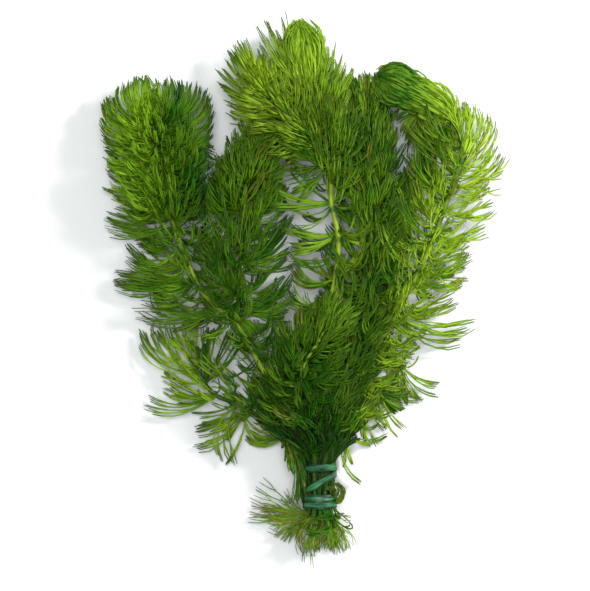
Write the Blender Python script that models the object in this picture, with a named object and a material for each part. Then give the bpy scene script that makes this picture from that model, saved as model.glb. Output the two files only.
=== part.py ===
"""A bunch of hornwort, tied at its base and lying on a flat surface.

Seven cut stems pass through a green band.  Two of them fork, so nine shoots
carry whorls of forked leaves.  Every shoot is one closed solid: a stem, with
each whorl fused to it as a pointed star that leans towards the growing tip.
The whorls crowd into a dense head where the shoot still grows.

Metres, +Z up.  +Y runs from the cut ends to the growing tips, the plant rests
on z = 0, and the origin is the middle of its footprint.
"""
import math
import random

import bpy
import numpy as np
from mathutils import Vector

MM = 0.001

# Stems and whorls
STEM_RADIUS = 1.1
WHORL_SPACING = 9.6
YOUNG_SPACING = 2.6
SPACING_GROWTH = 0.22
LOBES = 8
NOTCH_DEPTH = 0.55
HEAD_NOTCH_DEPTH = 0.72
DENSE_VALLEY = 0.4
HEAD_VALLEY = 0.6
HEAD_SPACING = 6.5
WHORL_THICKNESS = 4.2
SHORTEST_LOBE = 0.82
DROOP = 0.3
MINIMUM_RIM = 1.7
FIRST_WHORL = 2.5
TAIL_SPACING = 5.0
TAIL_LEAF = 21.0
LAST_WHORL_TO_TIP = 0.6
TIP_BEYOND_STEM = 0.4
TIP_RADIUS = 0.66

# Space that each shoot keeps to the others
CLEARANCE = 0.6
FOLD_LIMIT = 0.93
SAMPLE_STEP = 1.0
CURVE_STEP = 0.25
REACH_STEP = 1.0
REACH_HALVINGS = 16
FLOOR_SNAP = 0.001

# The bunch where the band holds it
BUNDLE_X = 9.0
BUNDLE_Z = 7.9
SLOT_RADIUS = 4.6
SLOT_FILL = 2.05
BAND_TOP_Y = -76.0
BAND_BOTTOM_Y = -97.2
SPREAD_ABOVE = 0.95
SWEPT_ABOVE = 1.6
SWEPT_DISTANCE = 30.0
TURNING_HEIGHT = 6.0

# The band: one flat strip wound round the bunch four times
BAND_WIDTH = 2.4
BAND_THICKNESS = 0.6
BAND_INNER_RADIUS = 7.25
BAND_STEPS = 16


def slot(angle_degrees):
    """X and Z of a stem's place in the bunch, where it passes through the band."""
    angle = math.radians(angle_degrees)
    return BUNDLE_X + SLOT_RADIUS * math.cos(angle), BUNDLE_Z + SLOT_RADIUS * math.sin(angle)


def through_band(angle_degrees, below):
    """The first stretch of a stem: its cut end, then straight through the band."""
    x, z = (BUNDLE_X, BUNDLE_Z) if angle_degrees is None else slot(angle_degrees)
    return [below, (x, BAND_BOTTOM_Y, z), (x, (BAND_TOP_Y + BAND_BOTTOM_Y) / 2, z), (x, BAND_TOP_Y, z)]


# How the leaves of a shoot stand: the angle to the stem at the tip and on the old
# whorls, with the distance over which they open and how late they do, then the leaf
# length at the tip and on the old whorls with the distance over which they lengthen.
FLUFFY = {"angle": (30, 82, 6, 1), "leaf": (20, 28.5, 5)}
ROSETTE = {"angle": (26, 80, 8, 1), "leaf": (17, 26, 7)}
BUD = {"angle": (8, 74, 25, 1), "leaf": (12, 27, 10)}
COCOON = {"angle": (10, 74, 60, 2), "leaf": (11, 26, 12)}
BRUSH = {"angle": (20, 76, 14, 1), "leaf": (15, 26, 9)}
SMALL_BRUSH = {"angle": (20, 74, 14, 1), "leaf": (11, 23, 9)}

SHOOTS = {
    "left_stem": {
        "growth": FLUFFY,
        "bare": (-22.0, 0.0),
        "tail_lean": 0.05,
        "colour": (0.060, 0.130, 0.018),
        "route": through_band(180, (2.0, -105.5, 6.0)) + [
            (1.4, -62.0, 9.5), (-6.8, -47.7, 11), (-16.2, -34.7, 12), (-23.9, -21.2, 12),
            (-29.7, -12.2, 12), (-41.9, -1.4, 12), (-45.9, 4.5, 12), (-50.9, 14.9, 12),
            (-56.3, 28.8, 12.5), (-59.9, 40.1, 13), (-61.7, 51.3, 13), (-64.4, 64.8, 13.5),
            (-66.5, 80.0, 14),
        ],
    },
    "inner_left_shoot": {
        "growth": BRUSH,
        "bare": (-10.0, 4.0),
        "colour": (0.040, 0.100, 0.012),
        "route": [
            (-28.4, -8.6, 12), (-27.9, -4.1, 12), (-27.0, 6.3, 12), (-26.6, 15.3, 12.5),
            (-25.7, 33.3, 13), (-23.4, 51.3, 13.5), (-19.4, 66.0, 14),
        ],
    },
    "middle_stem": {
        "growth": BUD,
        "bare": (0.0, 64.0),
        "tail_lean": 2.4,
        "colour": (0.110, 0.220, 0.022),
        "route": through_band(None, (8.1, -108.5, 6.5)) + [
            (9.0, -61.2, 9.5), (9.9, -43.2, 11), (12.2, -23.0, 12), (14.0, -2.7, 12.5),
            (15.8, 6.3, 13), (17.1, 17.6, 14), (17.1, 26.6, 14), (15.3, 35.6, 14),
            (14.0, 41.0, 14), (14.0, 51.3, 14), (13.5, 60.3, 14), (10.4, 71.6, 14),
            (6.8, 82.8, 14), (3.2, 96.3, 14), (0.9, 112.5, 14),
        ],
    },
    "middle_side_shoot": {
        "growth": ROSETTE,
        "bare": (60.0, 72.0),
        "colour": (0.110, 0.220, 0.022),
        "route": [
            (8.0, 67.8, 14.2), (0.0, 74.7, 14.5), (-9.0, 83.7, 15), (-15.1, 90.7, 15),
            (-19.5, 96.0, 15),
        ],
    },
    "right_stem": {
        "growth": COCOON,
        "bare": (-4.0, 28.0),
        "tail_lean": 1.5,
        "colour": (0.120, 0.230, 0.028),
        "route": through_band(0, (16.0, -106.0, 5.5)) + [
            (16.2, -61.2, 9), (23.4, -41.0, 11), (32.4, -25.2, 12), (38.7, -14.9, 12),
            (41.9, -10.8, 12), (47.3, -1.4, 12), (52.7, 8.6, 12), (57.6, 18.9, 12.5),
            (61.2, 27.9, 12.5), (65.7, 40.1, 13), (69.8, 51.3, 13.5), (72.9, 62.6, 14),
            (71.5, 72.5, 15), (67.0, 79.5, 16), (60.0, 85.0, 17), (50.5, 90.0, 17),
            (41.5, 94.5, 17),
        ],
    },
    "back_stem": {
        "growth": BRUSH,
        "bare": None,
        "tail_lean": 1.8,
        "colour": (0.045, 0.115, 0.014),
        "route": through_band(60, (12.6, -107.0, 9.0)) + [
            (13.5, -61.2, 13), (18.5, -41.0, 12.5), (23.4, -20.7, 11), (27.0, -2.7, 10.5),
            (30.6, 17.6, 11), (32.4, 37.8, 11), (32.4, 58.1, 11.5), (31.1, 76.1, 12),
            (29.7, 86.5, 12.5),
        ],
    },
    "front_shoot": {
        "growth": BRUSH,
        "bare": None,
        "tail_lean": 1.1,
        "colour": (0.070, 0.150, 0.018),
        "route": through_band(120, (4.0, -107.0, 9.5)) + [
            (4.5, -60.0, 15), (0.0, -47.7, 18), (0.5, -37.8, 21), (2.3, -30.6, 23),
            (6.3, -23.9, 25), (10.4, -17.1, 26), (14.0, -10.8, 26.5),
        ],
    },
    "lower_left_shoot": {
        "growth": BRUSH,
        "bare": None,
        "tail_lean": 0.45,
        "colour": (0.080, 0.160, 0.020),
        "route": through_band(240, (2.0, -104.0, 3.2)) + [
            (-1.8, -69.3, 4.5), (-7.2, -64.4, 5.5), (-17.1, -56.7, 6.5), (-27.9, -50.4, 7.5),
            (-38.7, -45.5, 8), (-45.0, -37.4, 8), (-53.0, -26.0, 8),
        ],
    },
    "lower_right_shoot": {
        "growth": SMALL_BRUSH,
        "bare": None,
        "tail_lean": 2.0,
        "colour": (0.090, 0.180, 0.022),
        "route": through_band(300, (14.0, -104.0, 3.2)) + [
            (17.1, -71.1, 4.5), (22.5, -61.2, 5.5), (29.7, -51.3, 6.5), (36.0, -43.2, 7.5),
            (42.3, -35.1, 8), (48.6, -27.9, 8),
        ],
    },
}


def clear_scene():
    for item in list(bpy.data.objects):
        bpy.data.objects.remove(item, do_unlink=True)


def plant_material(name, colour, roughness):
    """A plain surface with the piece's own colour."""
    material = bpy.data.materials.new(name)
    material.use_nodes = True
    shader = material.node_tree.nodes["Principled BSDF"]
    shader.inputs["Base Color"].default_value = (*colour, 1.0)
    shader.inputs["Roughness"].default_value = roughness
    shader.inputs["Metallic"].default_value = 0.0
    return material


class Centreline:
    """A smooth curve through a shoot's route, measured by the distance along it."""

    def __init__(self, route):
        knots = [np.array(point, float) for point in route]
        knots = [2 * knots[0] - knots[1]] + knots + [2 * knots[-1] - knots[-2]]
        fine = []
        for before, start, end, after in zip(knots, knots[1:], knots[2:], knots[3:]):
            steps = max(2, int(np.linalg.norm(end - start) / CURVE_STEP))
            for step in range(steps):
                fine.append(self.between(before, start, end, after, step / steps))
        fine.append(knots[-2])
        fine = np.array(fine)
        along = np.concatenate([[0.0], np.cumsum(np.linalg.norm(np.diff(fine, axis=0), axis=1))])
        self.length = float(along[-1])
        self.places = np.linspace(0.0, self.length, max(8, int(self.length / SAMPLE_STEP)))
        self.points = np.stack([np.interp(self.places, along, fine[:, axis]) for axis in range(3)], axis=1)

    @staticmethod
    def between(before, start, end, after, t):
        """One point of a Catmull-Rom stretch from start to end."""
        pull = 2 * start + (end - before) * t
        pull = pull + (2 * before - 5 * start + 4 * end - after) * t ** 2
        return 0.5 * (pull + (3 * start - before - 3 * end + after) * t ** 3)

    def at(self, distance):
        """Point and direction there; past either end the line runs on straight."""
        inside = min(max(distance, 0.0), self.length)
        point = np.array([np.interp(inside, self.places, self.points[:, axis]) for axis in range(3)])
        ahead = min(inside + SAMPLE_STEP, self.length)
        behind = max(inside - SAMPLE_STEP, 0.0)
        direction = np.array([
            np.interp(ahead, self.places, self.points[:, axis])
            - np.interp(behind, self.places, self.points[:, axis])
            for axis in range(3)
        ])
        direction = direction / np.linalg.norm(direction)
        return point + direction * (distance - inside), direction


def leaf_stance(shoot, from_tip):
    """Angle to the stem, in radians, and length of the leaves this far below the tip."""
    young, old, opening, lateness = shoot["growth"]["angle"]
    short, full, lengthening = shoot["growth"]["leaf"]
    angle = young + (old - young) * (1 - math.exp(-(from_tip / opening) ** lateness))
    length = short + (full - short) * (1 - math.exp(-from_tip / lengthening))
    return math.radians(angle), length


def lean(shoot, line, base):
    """How far a leaf runs along the stem for each millimetre that it runs out from it."""
    angle, _ = leaf_stance(shoot, max(line.length - base, 0.0))
    forward = 1.0 / math.tan(angle)
    if not shoot["tied"]:
        return forward
    height = line.at(base)[0][1]
    middle = (BAND_TOP_Y + BAND_BOTTOM_Y) / 2
    swept = SWEPT_ABOVE * math.exp(-max(height - BAND_TOP_Y, 0.0) / SWEPT_DISTANCE)
    share = max(-1.0, min(1.0, (height - middle) / TURNING_HEIGHT))
    return share * (max(swept, forward) if share > 0 else shoot["tail_lean"])


def leaf_point(shoot, line, base, angle, radius):
    """A point this far out from the stem, on the cone in which that whorl's leaves lean."""
    centre, direction = line.at(base + lean(shoot, line, base) * radius)
    across = np.cross(direction, (0.0, 0.0, 1.0))
    across = across / np.linalg.norm(across)
    upward = np.cross(across, direction)
    return centre + radius * (math.cos(angle) * across + math.sin(angle) * upward)


def has_room(point, radius, line, others):
    """Whether a leaf can reach the point: above the floor and nearer to its own stem."""
    if point[2] < 0.0:
        return False
    own = np.sqrt(((line.points - point) ** 2).sum(axis=1)).min()
    if own < FOLD_LIMIT * radius and radius > 2 * STEM_RADIUS:
        return False
    other = np.sqrt(((others - point) ** 2).sum(axis=1)).min()
    return other - own > CLEARANCE


def squeeze(root, point):
    """The band presses the leaves together: the most that one may stand out near it."""
    if root[1] < BAND_BOTTOM_Y:
        return math.inf
    if root[1] < BAND_TOP_Y:
        return SLOT_FILL
    return SLOT_FILL + SPREAD_ABOVE * max(point[1] - BAND_TOP_Y, 0.0)


def reach(shoot, line, others, base, angle, wanted):
    """The leaf's end, as far out as wanted or as the floor, band and neighbours let it."""
    root = line.at(base)[0]

    def fits(radius):
        point = leaf_point(shoot, line, base, angle, radius)
        if shoot["tied"] and radius > squeeze(root, point):
            return False
        return has_room(point, radius, line, others)

    far = STEM_RADIUS
    while far < wanted and fits(min(far + REACH_STEP, wanted)):
        far = min(far + REACH_STEP, wanted)
    if far < wanted:
        too_far = min(far + REACH_STEP, wanted)
        for _ in range(REACH_HALVINGS):
            middle = (far + too_far) / 2
            if fits(middle):
                far = middle
            else:
                too_far = middle
    point = leaf_point(shoot, line, base, angle, far)
    if point[2] < FLOOR_SNAP:
        point[2] = 0.0
    return point


def whorl_places(shoot, line):
    """Distances along the stem at which its whorls grow, from the cut end to the tip."""
    places = []
    place = line.length - LAST_WHORL_TO_TIP
    lowest = FIRST_WHORL
    if shoot["tied"]:
        lowest = FIRST_WHORL + TAIL_SPACING
    while place > lowest + TAIL_SPACING / 2:
        places.append(place)
        place -= min(WHORL_SPACING, YOUNG_SPACING + SPACING_GROWTH * (line.length - place))
    places.append(lowest)
    if shoot["tied"]:
        places.append(FIRST_WHORL)
    return places[::-1]


def full_reach(shoot, line, base):
    """How far out from the stem the leaves of a whorl stand where nothing holds them."""
    if shoot["tied"] and line.at(base)[0][1] < BAND_BOTTOM_Y:
        return TAIL_LEAF / math.hypot(1.0, shoot["tail_lean"])
    angle_to_stem, leaf = leaf_stance(shoot, line.length - base)
    return leaf * math.sin(angle_to_stem)


def stem_ring(shoot, line, base, radius):
    """Points round the bare stem, one for each lobe."""
    ring = []
    for index in range(LOBES):
        ring.append(leaf_point(shoot, line, base, 2 * math.pi * index / LOBES, radius))
    return ring


def whorl_ring(shoot, line, others, base, turned, crowded, chance):
    """The star-shaped rim of one whorl, with a notch between every two lobes."""
    full = full_reach(shoot, line, base)
    notch = HEAD_NOTCH_DEPTH if crowded else NOTCH_DEPTH
    ring = []
    for index in range(2 * LOBES):
        angle = math.pi * index / LOBES
        is_lobe = (index + turned) % 2 == 0
        length = full * chance.uniform(SHORTEST_LOBE, 1.0)
        if not is_lobe:
            length = full * notch
        length *= 1 - DROOP * max(math.sin(angle), 0.0)
        ring.append(reach(shoot, line, others, base, angle, max(length, MINIMUM_RIM)))
    return ring


def valley_ring(shoot, line, others, base, depth):
    """The hollow between two whorls whose leaves stand so close that they hide the stem."""
    full = max(full_reach(shoot, line, base) * depth, MINIMUM_RIM)
    ring = []
    for index in range(LOBES):
        angle = 2 * math.pi * index / LOBES
        length = full * (1 - DROOP * max(math.sin(angle), 0.0))
        ring.append(reach(shoot, line, others, base, angle, length))
    return ring


def stem_shows(shoot, line, base):
    """Whether the stem is bare between the whorls there, as it is low on some shoots."""
    height = line.at(base)[0][1]
    if shoot["tied"] and height < BAND_TOP_Y + WHORL_SPACING:
        return True
    return shoot["bare"] is not None and shoot["bare"][0] < height < shoot["bare"][1]


def shoot_rings(shoot, line, others, chance):
    """All the rings of a shoot in order, from its cut end to its growing tip."""
    places = whorl_places(shoot, line)
    rings = [stem_ring(shoot, line, 0.0, STEM_RADIUS)]
    rings.append(stem_ring(shoot, line, places[0] - WHORL_THICKNESS / 2, STEM_RADIUS))
    for number, base in enumerate(places):
        following = places[number + 1] if number + 1 < len(places) else line.length
        crowded = following - base < HEAD_SPACING
        rings.append(whorl_ring(shoot, line, others, base, number % 2, crowded, chance))
        if number + 1 == len(places):
            break
        middle = (base + following) / 2
        if crowded or not stem_shows(shoot, line, middle):
            depth = HEAD_VALLEY if crowded else DENSE_VALLEY
            rings.append(valley_ring(shoot, line, others, middle, depth))
        else:
            rings.append(stem_ring(shoot, line, base + WHORL_THICKNESS / 2, STEM_RADIUS))
            rings.append(stem_ring(shoot, line, following - WHORL_THICKNESS / 2, STEM_RADIUS))
    rings.append(stem_ring(shoot, line, line.length + TIP_BEYOND_STEM, TIP_RADIUS))
    return rings


def join_rings(faces, first, second):
    """Triangles between two rings given as vertex numbers, one of which may have twice the points."""
    if len(first) == len(second):
        for index in range(len(first)):
            after = (index + 1) % len(first)
            faces.append((first[index], second[after], first[after]))
            faces.append((first[index], second[index], second[after]))
        return
    narrow, wide = (first, second) if len(first) < len(second) else (second, first)
    flip = narrow is second
    for index in range(len(narrow)):
        left, middle, right = wide[2 * index - 1], wide[2 * index], wide[2 * index + 1]
        after = narrow[(index + 1) % len(narrow)]
        for face in ((narrow[index], left, middle), (narrow[index], middle, right), (narrow[index], right, after)):
            faces.append(face[::-1] if flip else face)


def shoot_mesh(name, rings):
    """One closed skin through all the rings, with a flat cap at each end."""
    points = []
    numbered = []
    for ring in rings:
        numbered.append(list(range(len(points), len(points) + len(ring))))
        points.extend(Vector(point) * MM for point in ring)
    faces = []
    for first, second in zip(numbered, numbered[1:]):
        join_rings(faces, first, second)
    for index in range(1, LOBES - 1):
        bottom = numbered[0]
        top = numbered[-1]
        faces.append((bottom[0], bottom[index], bottom[index + 1]))
        faces.append((top[0], top[index + 1], top[index]))
    mesh = bpy.data.meshes.new(name)
    mesh.from_pydata(points, [], faces)
    mesh.update()
    return mesh


def add_object(name, mesh, colour, roughness, collection):
    item = bpy.data.objects.new(name, mesh)
    item.data.materials.append(plant_material(name + "_surface", colour, roughness))
    collection.objects.link(item)
    return item


def add_shoots(collection):
    lines = {name: Centreline(shoot["route"]) for name, shoot in SHOOTS.items()}
    for number, (name, shoot) in enumerate(SHOOTS.items()):
        line = lines[name]
        shoot["tied"] = line.points[0][1] < BAND_BOTTOM_Y
        others = np.concatenate([other.points for key, other in lines.items() if key != name])
        rings = shoot_rings(shoot, line, others, random.Random(number + 1))
        add_object(name, shoot_mesh(name, rings), shoot["colour"], 0.5, collection)


def band_path():
    """Y of the strip's middle at each step round the bunch, from its first end to its last."""
    fronts = [(-78.2, -78.2), (-80.9, -89.2), (-91.8, -92.2), (-94.9, -95.0)]
    half = BAND_STEPS // 2
    heights = []
    for turn, (right, left) in enumerate(fronts):
        for step in range(half):
            heights.append(right + (left - right) * step / half)
        if turn + 1 == len(fronts):
            break
        next_right = fronts[turn + 1][0]
        for step in range(half):
            heights.append(left + (next_right - left) * step / half)
    return heights + [fronts[-1][1]]


def add_band(collection):
    """The flat strip, wound from the right over the front, pressed flat where it lies on the floor."""
    heights = band_path()
    points = []
    for step, height in enumerate(heights):
        angle = 2 * math.pi * step / BAND_STEPS
        for radius, side in ((0, 0.5), (1, 0.5), (1, -0.5), (0, -0.5)):
            out = BAND_INNER_RADIUS + radius * BAND_THICKNESS
            x = BUNDLE_X + out * math.cos(angle)
            z = BUNDLE_Z + out * math.sin(angle)
            points.append(Vector((x, height + side * BAND_WIDTH, max(z, 0.0))) * MM)
    faces = []
    sections = len(heights)
    for step in range(sections - 1):
        for corner in range(4):
            after = (corner + 1) % 4
            here, there = 4 * step, 4 * (step + 1)
            faces.append((here + corner, there + corner, there + after, here + after))
    last = 4 * (sections - 1)
    faces.append((0, 1, 2, 3))
    faces.append((last + 3, last + 2, last + 1, last))
    mesh = bpy.data.meshes.new("tie_band")
    mesh.from_pydata(points, [], faces)
    mesh.update()
    add_object("tie_band", mesh, (0.035, 0.230, 0.100), 0.35, collection)


clear_scene()
hornwort = bpy.data.collections.new("hornwort")
bpy.context.scene.collection.children.link(hornwort)
add_shoots(hornwort)
add_band(hornwort)
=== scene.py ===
import math
import random

import bpy
import numpy as np
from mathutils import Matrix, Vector


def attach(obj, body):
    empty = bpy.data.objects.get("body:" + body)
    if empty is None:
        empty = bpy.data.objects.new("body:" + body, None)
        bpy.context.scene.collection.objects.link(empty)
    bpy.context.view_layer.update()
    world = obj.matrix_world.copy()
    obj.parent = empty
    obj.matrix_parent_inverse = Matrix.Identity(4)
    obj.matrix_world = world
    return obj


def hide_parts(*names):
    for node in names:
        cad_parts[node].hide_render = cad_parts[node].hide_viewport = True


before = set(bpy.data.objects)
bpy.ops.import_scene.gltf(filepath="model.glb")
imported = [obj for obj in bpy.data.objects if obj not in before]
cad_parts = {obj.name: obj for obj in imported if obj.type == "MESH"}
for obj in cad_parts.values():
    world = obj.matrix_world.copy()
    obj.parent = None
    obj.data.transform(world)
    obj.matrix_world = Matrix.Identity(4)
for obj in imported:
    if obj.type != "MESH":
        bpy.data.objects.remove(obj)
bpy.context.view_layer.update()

MM = 0.001


# The surface, the light and the camera
# The bunch lies on a plain white surface and is seen from straight above.  The light
# is soft and comes from the upper right, so a faint grey shadow falls to the lower left.
VIEW_CENTRE = (-2.25, -0.68)
VIEW_WIDTH = 265.5
VIEW_DISTANCE = 800.0
FRAME_WIDTH = 590
FRAME_HEIGHT = 591
PLANT_MIDDLE_HEIGHT = 14.0
SENSOR = 36.0

FLOOR_SIZE = 3.0
FLOOR_DARK = (0.525, 0.54, 0.535, 1)
FLOOR_LIGHT = (0.555, 0.562, 0.555, 1)
ROOM_COLOUR = (0.94, 0.98, 1.0, 1)
ROOM_STRENGTH = 0.70

bpy.ops.object.select_all(action="DESELECT")
bpy.ops.mesh.primitive_plane_add(size=FLOOR_SIZE, location=(0, 0, 0))
floor = bpy.context.object
floor.name = "white_surface"


def new_material(name):
    """A new material, its node tree and its shader."""
    material = bpy.data.materials.new(name)
    material.use_nodes = True
    return material, material.node_tree, material.node_tree.nodes["Principled BSDF"]


def set_values(node, values):
    """Sets the values of a node's own inputs."""
    for socket, value in values.items():
        node.inputs[socket].default_value = value


def add_node(tree, kind, values=None, **settings):
    """A shader node of a kind, with its settings and the values of its inputs."""
    node = tree.nodes.new(f"ShaderNode{kind}")
    for setting, choice in settings.items():
        setattr(node, setting, choice)
    set_values(node, values or {})
    return node


def join(tree, joints):
    """Links nodes.  Each joint is (node, its output, the next node, its input)."""
    for giver, output, taker, socket in joints:
        tree.links.new(giver.outputs[output], taker.inputs[socket])


surface, tree, shader = new_material("white surface")
place = add_node(tree, "TexCoord")
cloudy = add_node(tree, "TexNoise", {"Scale": 6.0, "Detail": 3.0})
tint = add_node(tree, "ValToRGB")
tint.color_ramp.elements[0].color = FLOOR_DARK
tint.color_ramp.elements[1].color = FLOOR_LIGHT
join(tree, (
    (place, "Object", cloudy, "Vector"),
    (cloudy, "Fac", tint, "Fac"),
    (tint, "Color", shader, "Base Color"),
))
set_values(shader, {"Roughness": 0.6, "Specular IOR Level": 0.2})
floor.data.materials.append(surface)

world = bpy.data.worlds.new("soft room light")
world.use_nodes = True
set_values(world.node_tree.nodes["Background"], {"Color": ROOM_COLOUR, "Strength": ROOM_STRENGTH})
bpy.context.scene.world = world


def soft_lamp(name, place, size, power, colour):
    """A square lamp that shines at the middle of the bunch.  Its place and size are in metres."""
    lamp = bpy.data.lights.new(name, "AREA")
    lamp.size = size
    lamp.energy = power
    lamp.color = colour
    thing = bpy.data.objects.new(name, lamp)
    thing.location = place
    thing.rotation_euler = (-Vector(place)).to_track_quat("-Z", "Y").to_euler()
    bpy.context.collection.objects.link(thing)


soft_lamp("window", place=(0.90, 0.42, 0.62), size=0.18, power=20.5, colour=(1.0, 0.985, 0.95))
soft_lamp("ceiling", place=(-0.05, 0.15, 1.3), size=0.7, power=16.0, colour=(1.0, 1.0, 1.0))

lens = bpy.data.cameras.new("camera")
lens.sensor_width = SENSOR
lens.lens = SENSOR * VIEW_DISTANCE / (VIEW_WIDTH * FRAME_HEIGHT / FRAME_WIDTH)
camera = bpy.data.objects.new("camera", lens)
camera.location = (VIEW_CENTRE[0] * MM, VIEW_CENTRE[1] * MM, (VIEW_DISTANCE + PLANT_MIDDLE_HEIGHT) * MM)
bpy.context.collection.objects.link(camera)
bpy.context.scene.camera = camera
bpy.context.scene.view_settings.view_transform = "Standard"


# The stems
# Each shoot is a soft round stem, pale green and smooth, with a slight swelling at
# every node.  Seven were cut across at the base, and two side shoots grow from forks.
STEM_RADIUS = 1.15
TIP_RADIUS = 0.45
TAPER_LENGTH = 60.0
TAPER_POWER = 0.6
TIP_BULGE = 0.4 * TIP_RADIUS
CUT_HOLLOW = 0.1
NODE_SWELLING = 0.32
NODE_HALF_LENGTH = 1.1
STEM_SIDES = 10
STEM_STEP = 0.8
UP = (0.0, 0.0, 1.0)

# The bundle that the band holds, and the slots round the middle stem where the others pass
BUNDLE_X = 9.0
BUNDLE_Z = 7.9
SLOT_RADIUS = 4.6
BAND_TOP_Y = -76.0
BAND_BOTTOM_Y = -97.2


def through_band(angle_degrees, cut_end):
    """The first stretch of a stem: its cut end, then straight through the band."""
    x, z = BUNDLE_X, BUNDLE_Z
    if angle_degrees is not None:
        x += SLOT_RADIUS * math.cos(math.radians(angle_degrees))
        z += SLOT_RADIUS * math.sin(math.radians(angle_degrees))
    return [cut_end] + [(x, y, z) for y in (BAND_BOTTOM_Y, (BAND_TOP_Y + BAND_BOTTOM_Y) / 2, BAND_TOP_Y)]


ROUTES = {
    "left_stem": through_band(180, (2.0, -105.5, 6.0)) + [
        (1.4, -62.0, 9.5), (-6.8, -47.7, 11), (-16.2, -34.7, 12), (-23.9, -21.2, 12),
        (-29.7, -12.2, 12), (-41.9, -1.4, 12), (-45.9, 4.5, 12), (-50.9, 14.9, 12),
        (-56.3, 28.8, 12.5), (-59.9, 40.1, 13), (-61.7, 51.3, 13), (-64.4, 64.8, 13.5),
        (-66.5, 80.0, 14),
    ],
    "inner_left_shoot": [
        (-28.4, -8.6, 12), (-27.9, -4.1, 12), (-27.0, 6.3, 12), (-26.6, 15.3, 12.5),
        (-25.7, 33.3, 13), (-23.4, 51.3, 13.5), (-19.4, 66.0, 14),
    ],
    "middle_stem": through_band(None, (8.1, -108.5, 6.5)) + [
        (9.0, -61.2, 9.5), (9.9, -43.2, 11), (12.2, -23.0, 12), (14.0, -2.7, 12.5),
        (15.8, 6.3, 13), (17.1, 17.6, 14), (17.1, 26.6, 14), (15.3, 35.6, 14),
        (14.0, 41.0, 14), (14.0, 51.3, 14), (13.5, 60.3, 14), (10.4, 71.6, 14),
        (6.8, 82.8, 14), (3.2, 96.3, 14), (0.9, 112.5, 14),
    ],
    "middle_side_shoot": [
        (8.0, 67.8, 14.2), (0.0, 74.7, 14.5), (-9.0, 83.7, 15), (-15.1, 90.7, 15),
        (-19.5, 96.0, 15),
    ],
    "right_stem": through_band(0, (16.0, -106.0, 5.5)) + [
        (16.2, -61.2, 9), (23.4, -41.0, 11), (32.4, -25.2, 12), (38.7, -14.9, 12),
        (41.9, -10.8, 12), (47.3, -1.4, 12), (52.7, 8.6, 12), (57.6, 18.9, 12.5),
        (61.2, 27.9, 12.5), (65.7, 40.1, 13), (69.8, 51.3, 13.5), (72.9, 62.6, 14),
        (71.5, 72.5, 15), (67.0, 79.5, 16), (60.0, 85.0, 17), (50.5, 90.0, 17),
        (41.5, 94.5, 17),
    ],
    "back_stem": through_band(60, (12.6, -107.0, 9.0)) + [
        (13.5, -61.2, 13), (18.5, -41.0, 12.5), (23.4, -20.7, 11), (27.0, -2.7, 10.5),
        (30.6, 17.6, 11), (32.4, 37.8, 11), (32.4, 58.1, 11.5), (31.1, 76.1, 12),
        (29.7, 86.5, 12.5),
    ],
    "front_shoot": through_band(120, (4.0, -107.0, 9.5)) + [
        (4.5, -60.0, 15), (0.0, -47.7, 18), (0.5, -37.8, 21), (2.3, -30.6, 23),
        (6.3, -23.9, 25), (10.4, -17.1, 26), (14.0, -10.8, 26.5),
    ],
    "lower_left_shoot": through_band(240, (2.0, -104.0, 3.2)) + [
        (-1.8, -69.3, 4.5), (-7.2, -64.4, 5.5), (-17.1, -56.7, 6.5), (-27.9, -50.4, 7.5),
        (-38.7, -45.5, 8), (-45.0, -37.4, 8), (-53.0, -26.0, 8),
    ],
    "lower_right_shoot": through_band(300, (14.0, -104.0, 3.2)) + [
        (17.1, -71.1, 4.5), (22.5, -61.2, 5.5), (29.7, -51.3, 6.5), (36.0, -43.2, 7.5),
        (42.3, -35.1, 8), (48.6, -27.9, 8),
    ],
}

CURVE_STEP = 0.25
SPARE_PLACES = 8
TANGENT_REACH = 1.0


class Centreline:
    """A smooth curve through a shoot's route, measured by the distance along it."""

    def __init__(self, route):
        knots = [np.array(point, float) for point in route]
        knots = [2 * knots[0] - knots[1]] + knots + [2 * knots[-1] - knots[-2]]
        fine = []
        for before, start, end, after in zip(knots, knots[1:], knots[2:], knots[3:]):
            steps = max(2, int(np.linalg.norm(end - start) / CURVE_STEP))
            for step in range(steps):
                t = step / steps
                pull = 2 * start + (end - before) * t + (2 * before - 5 * start + 4 * end - after) * t ** 2
                fine.append(0.5 * (pull + (3 * start - before - 3 * end + after) * t ** 3))
        fine.append(knots[-2])
        fine = np.array(fine)
        along = np.concatenate([[0.0], np.cumsum(np.linalg.norm(np.diff(fine, axis=0), axis=1))])
        self.length = float(along[-1])
        self.places = np.linspace(0.0, self.length, int(self.length) + SPARE_PLACES)
        self.points = np.stack([np.interp(self.places, along, fine[:, axis]) for axis in range(3)], axis=1)

    def frames(self, distances):
        """Centre, level direction and upward direction for an array of distances along the line."""
        inside = np.clip(distances, 0.0, self.length)
        centre, before, after = (
            np.stack([np.interp(places, self.places, self.points[:, axis]) for axis in range(3)], axis=-1)
            for places in (inside, inside - TANGENT_REACH, inside + TANGENT_REACH)
        )
        direction = (after - before) / np.linalg.norm(after - before, axis=-1, keepdims=True)
        level = np.cross(direction, UP)
        level /= np.linalg.norm(level, axis=-1, keepdims=True)
        centre = centre + direction * (distances - inside)[..., None]
        return centre, level, np.cross(level, direction)

    def at(self, distance):
        """Point and direction there; past either end the line runs on straight."""
        inside = min(max(distance, 0.0), self.length)
        point, ahead, behind = (
            np.array([np.interp(place, self.places, self.points[:, axis]) for axis in range(3)])
            for place in (inside, inside + TANGENT_REACH, inside - TANGENT_REACH)
        )
        direction = (ahead - behind) / np.linalg.norm(ahead - behind)
        return point + direction * (distance - inside), direction


def crosswise(direction):
    """The level direction across a stem, and the upward one square to both."""
    across = np.cross(direction, UP)
    across /= np.linalg.norm(across)
    return across, np.cross(across, direction)


LINES = {name: Centreline(route) for name, route in ROUTES.items()}

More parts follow.
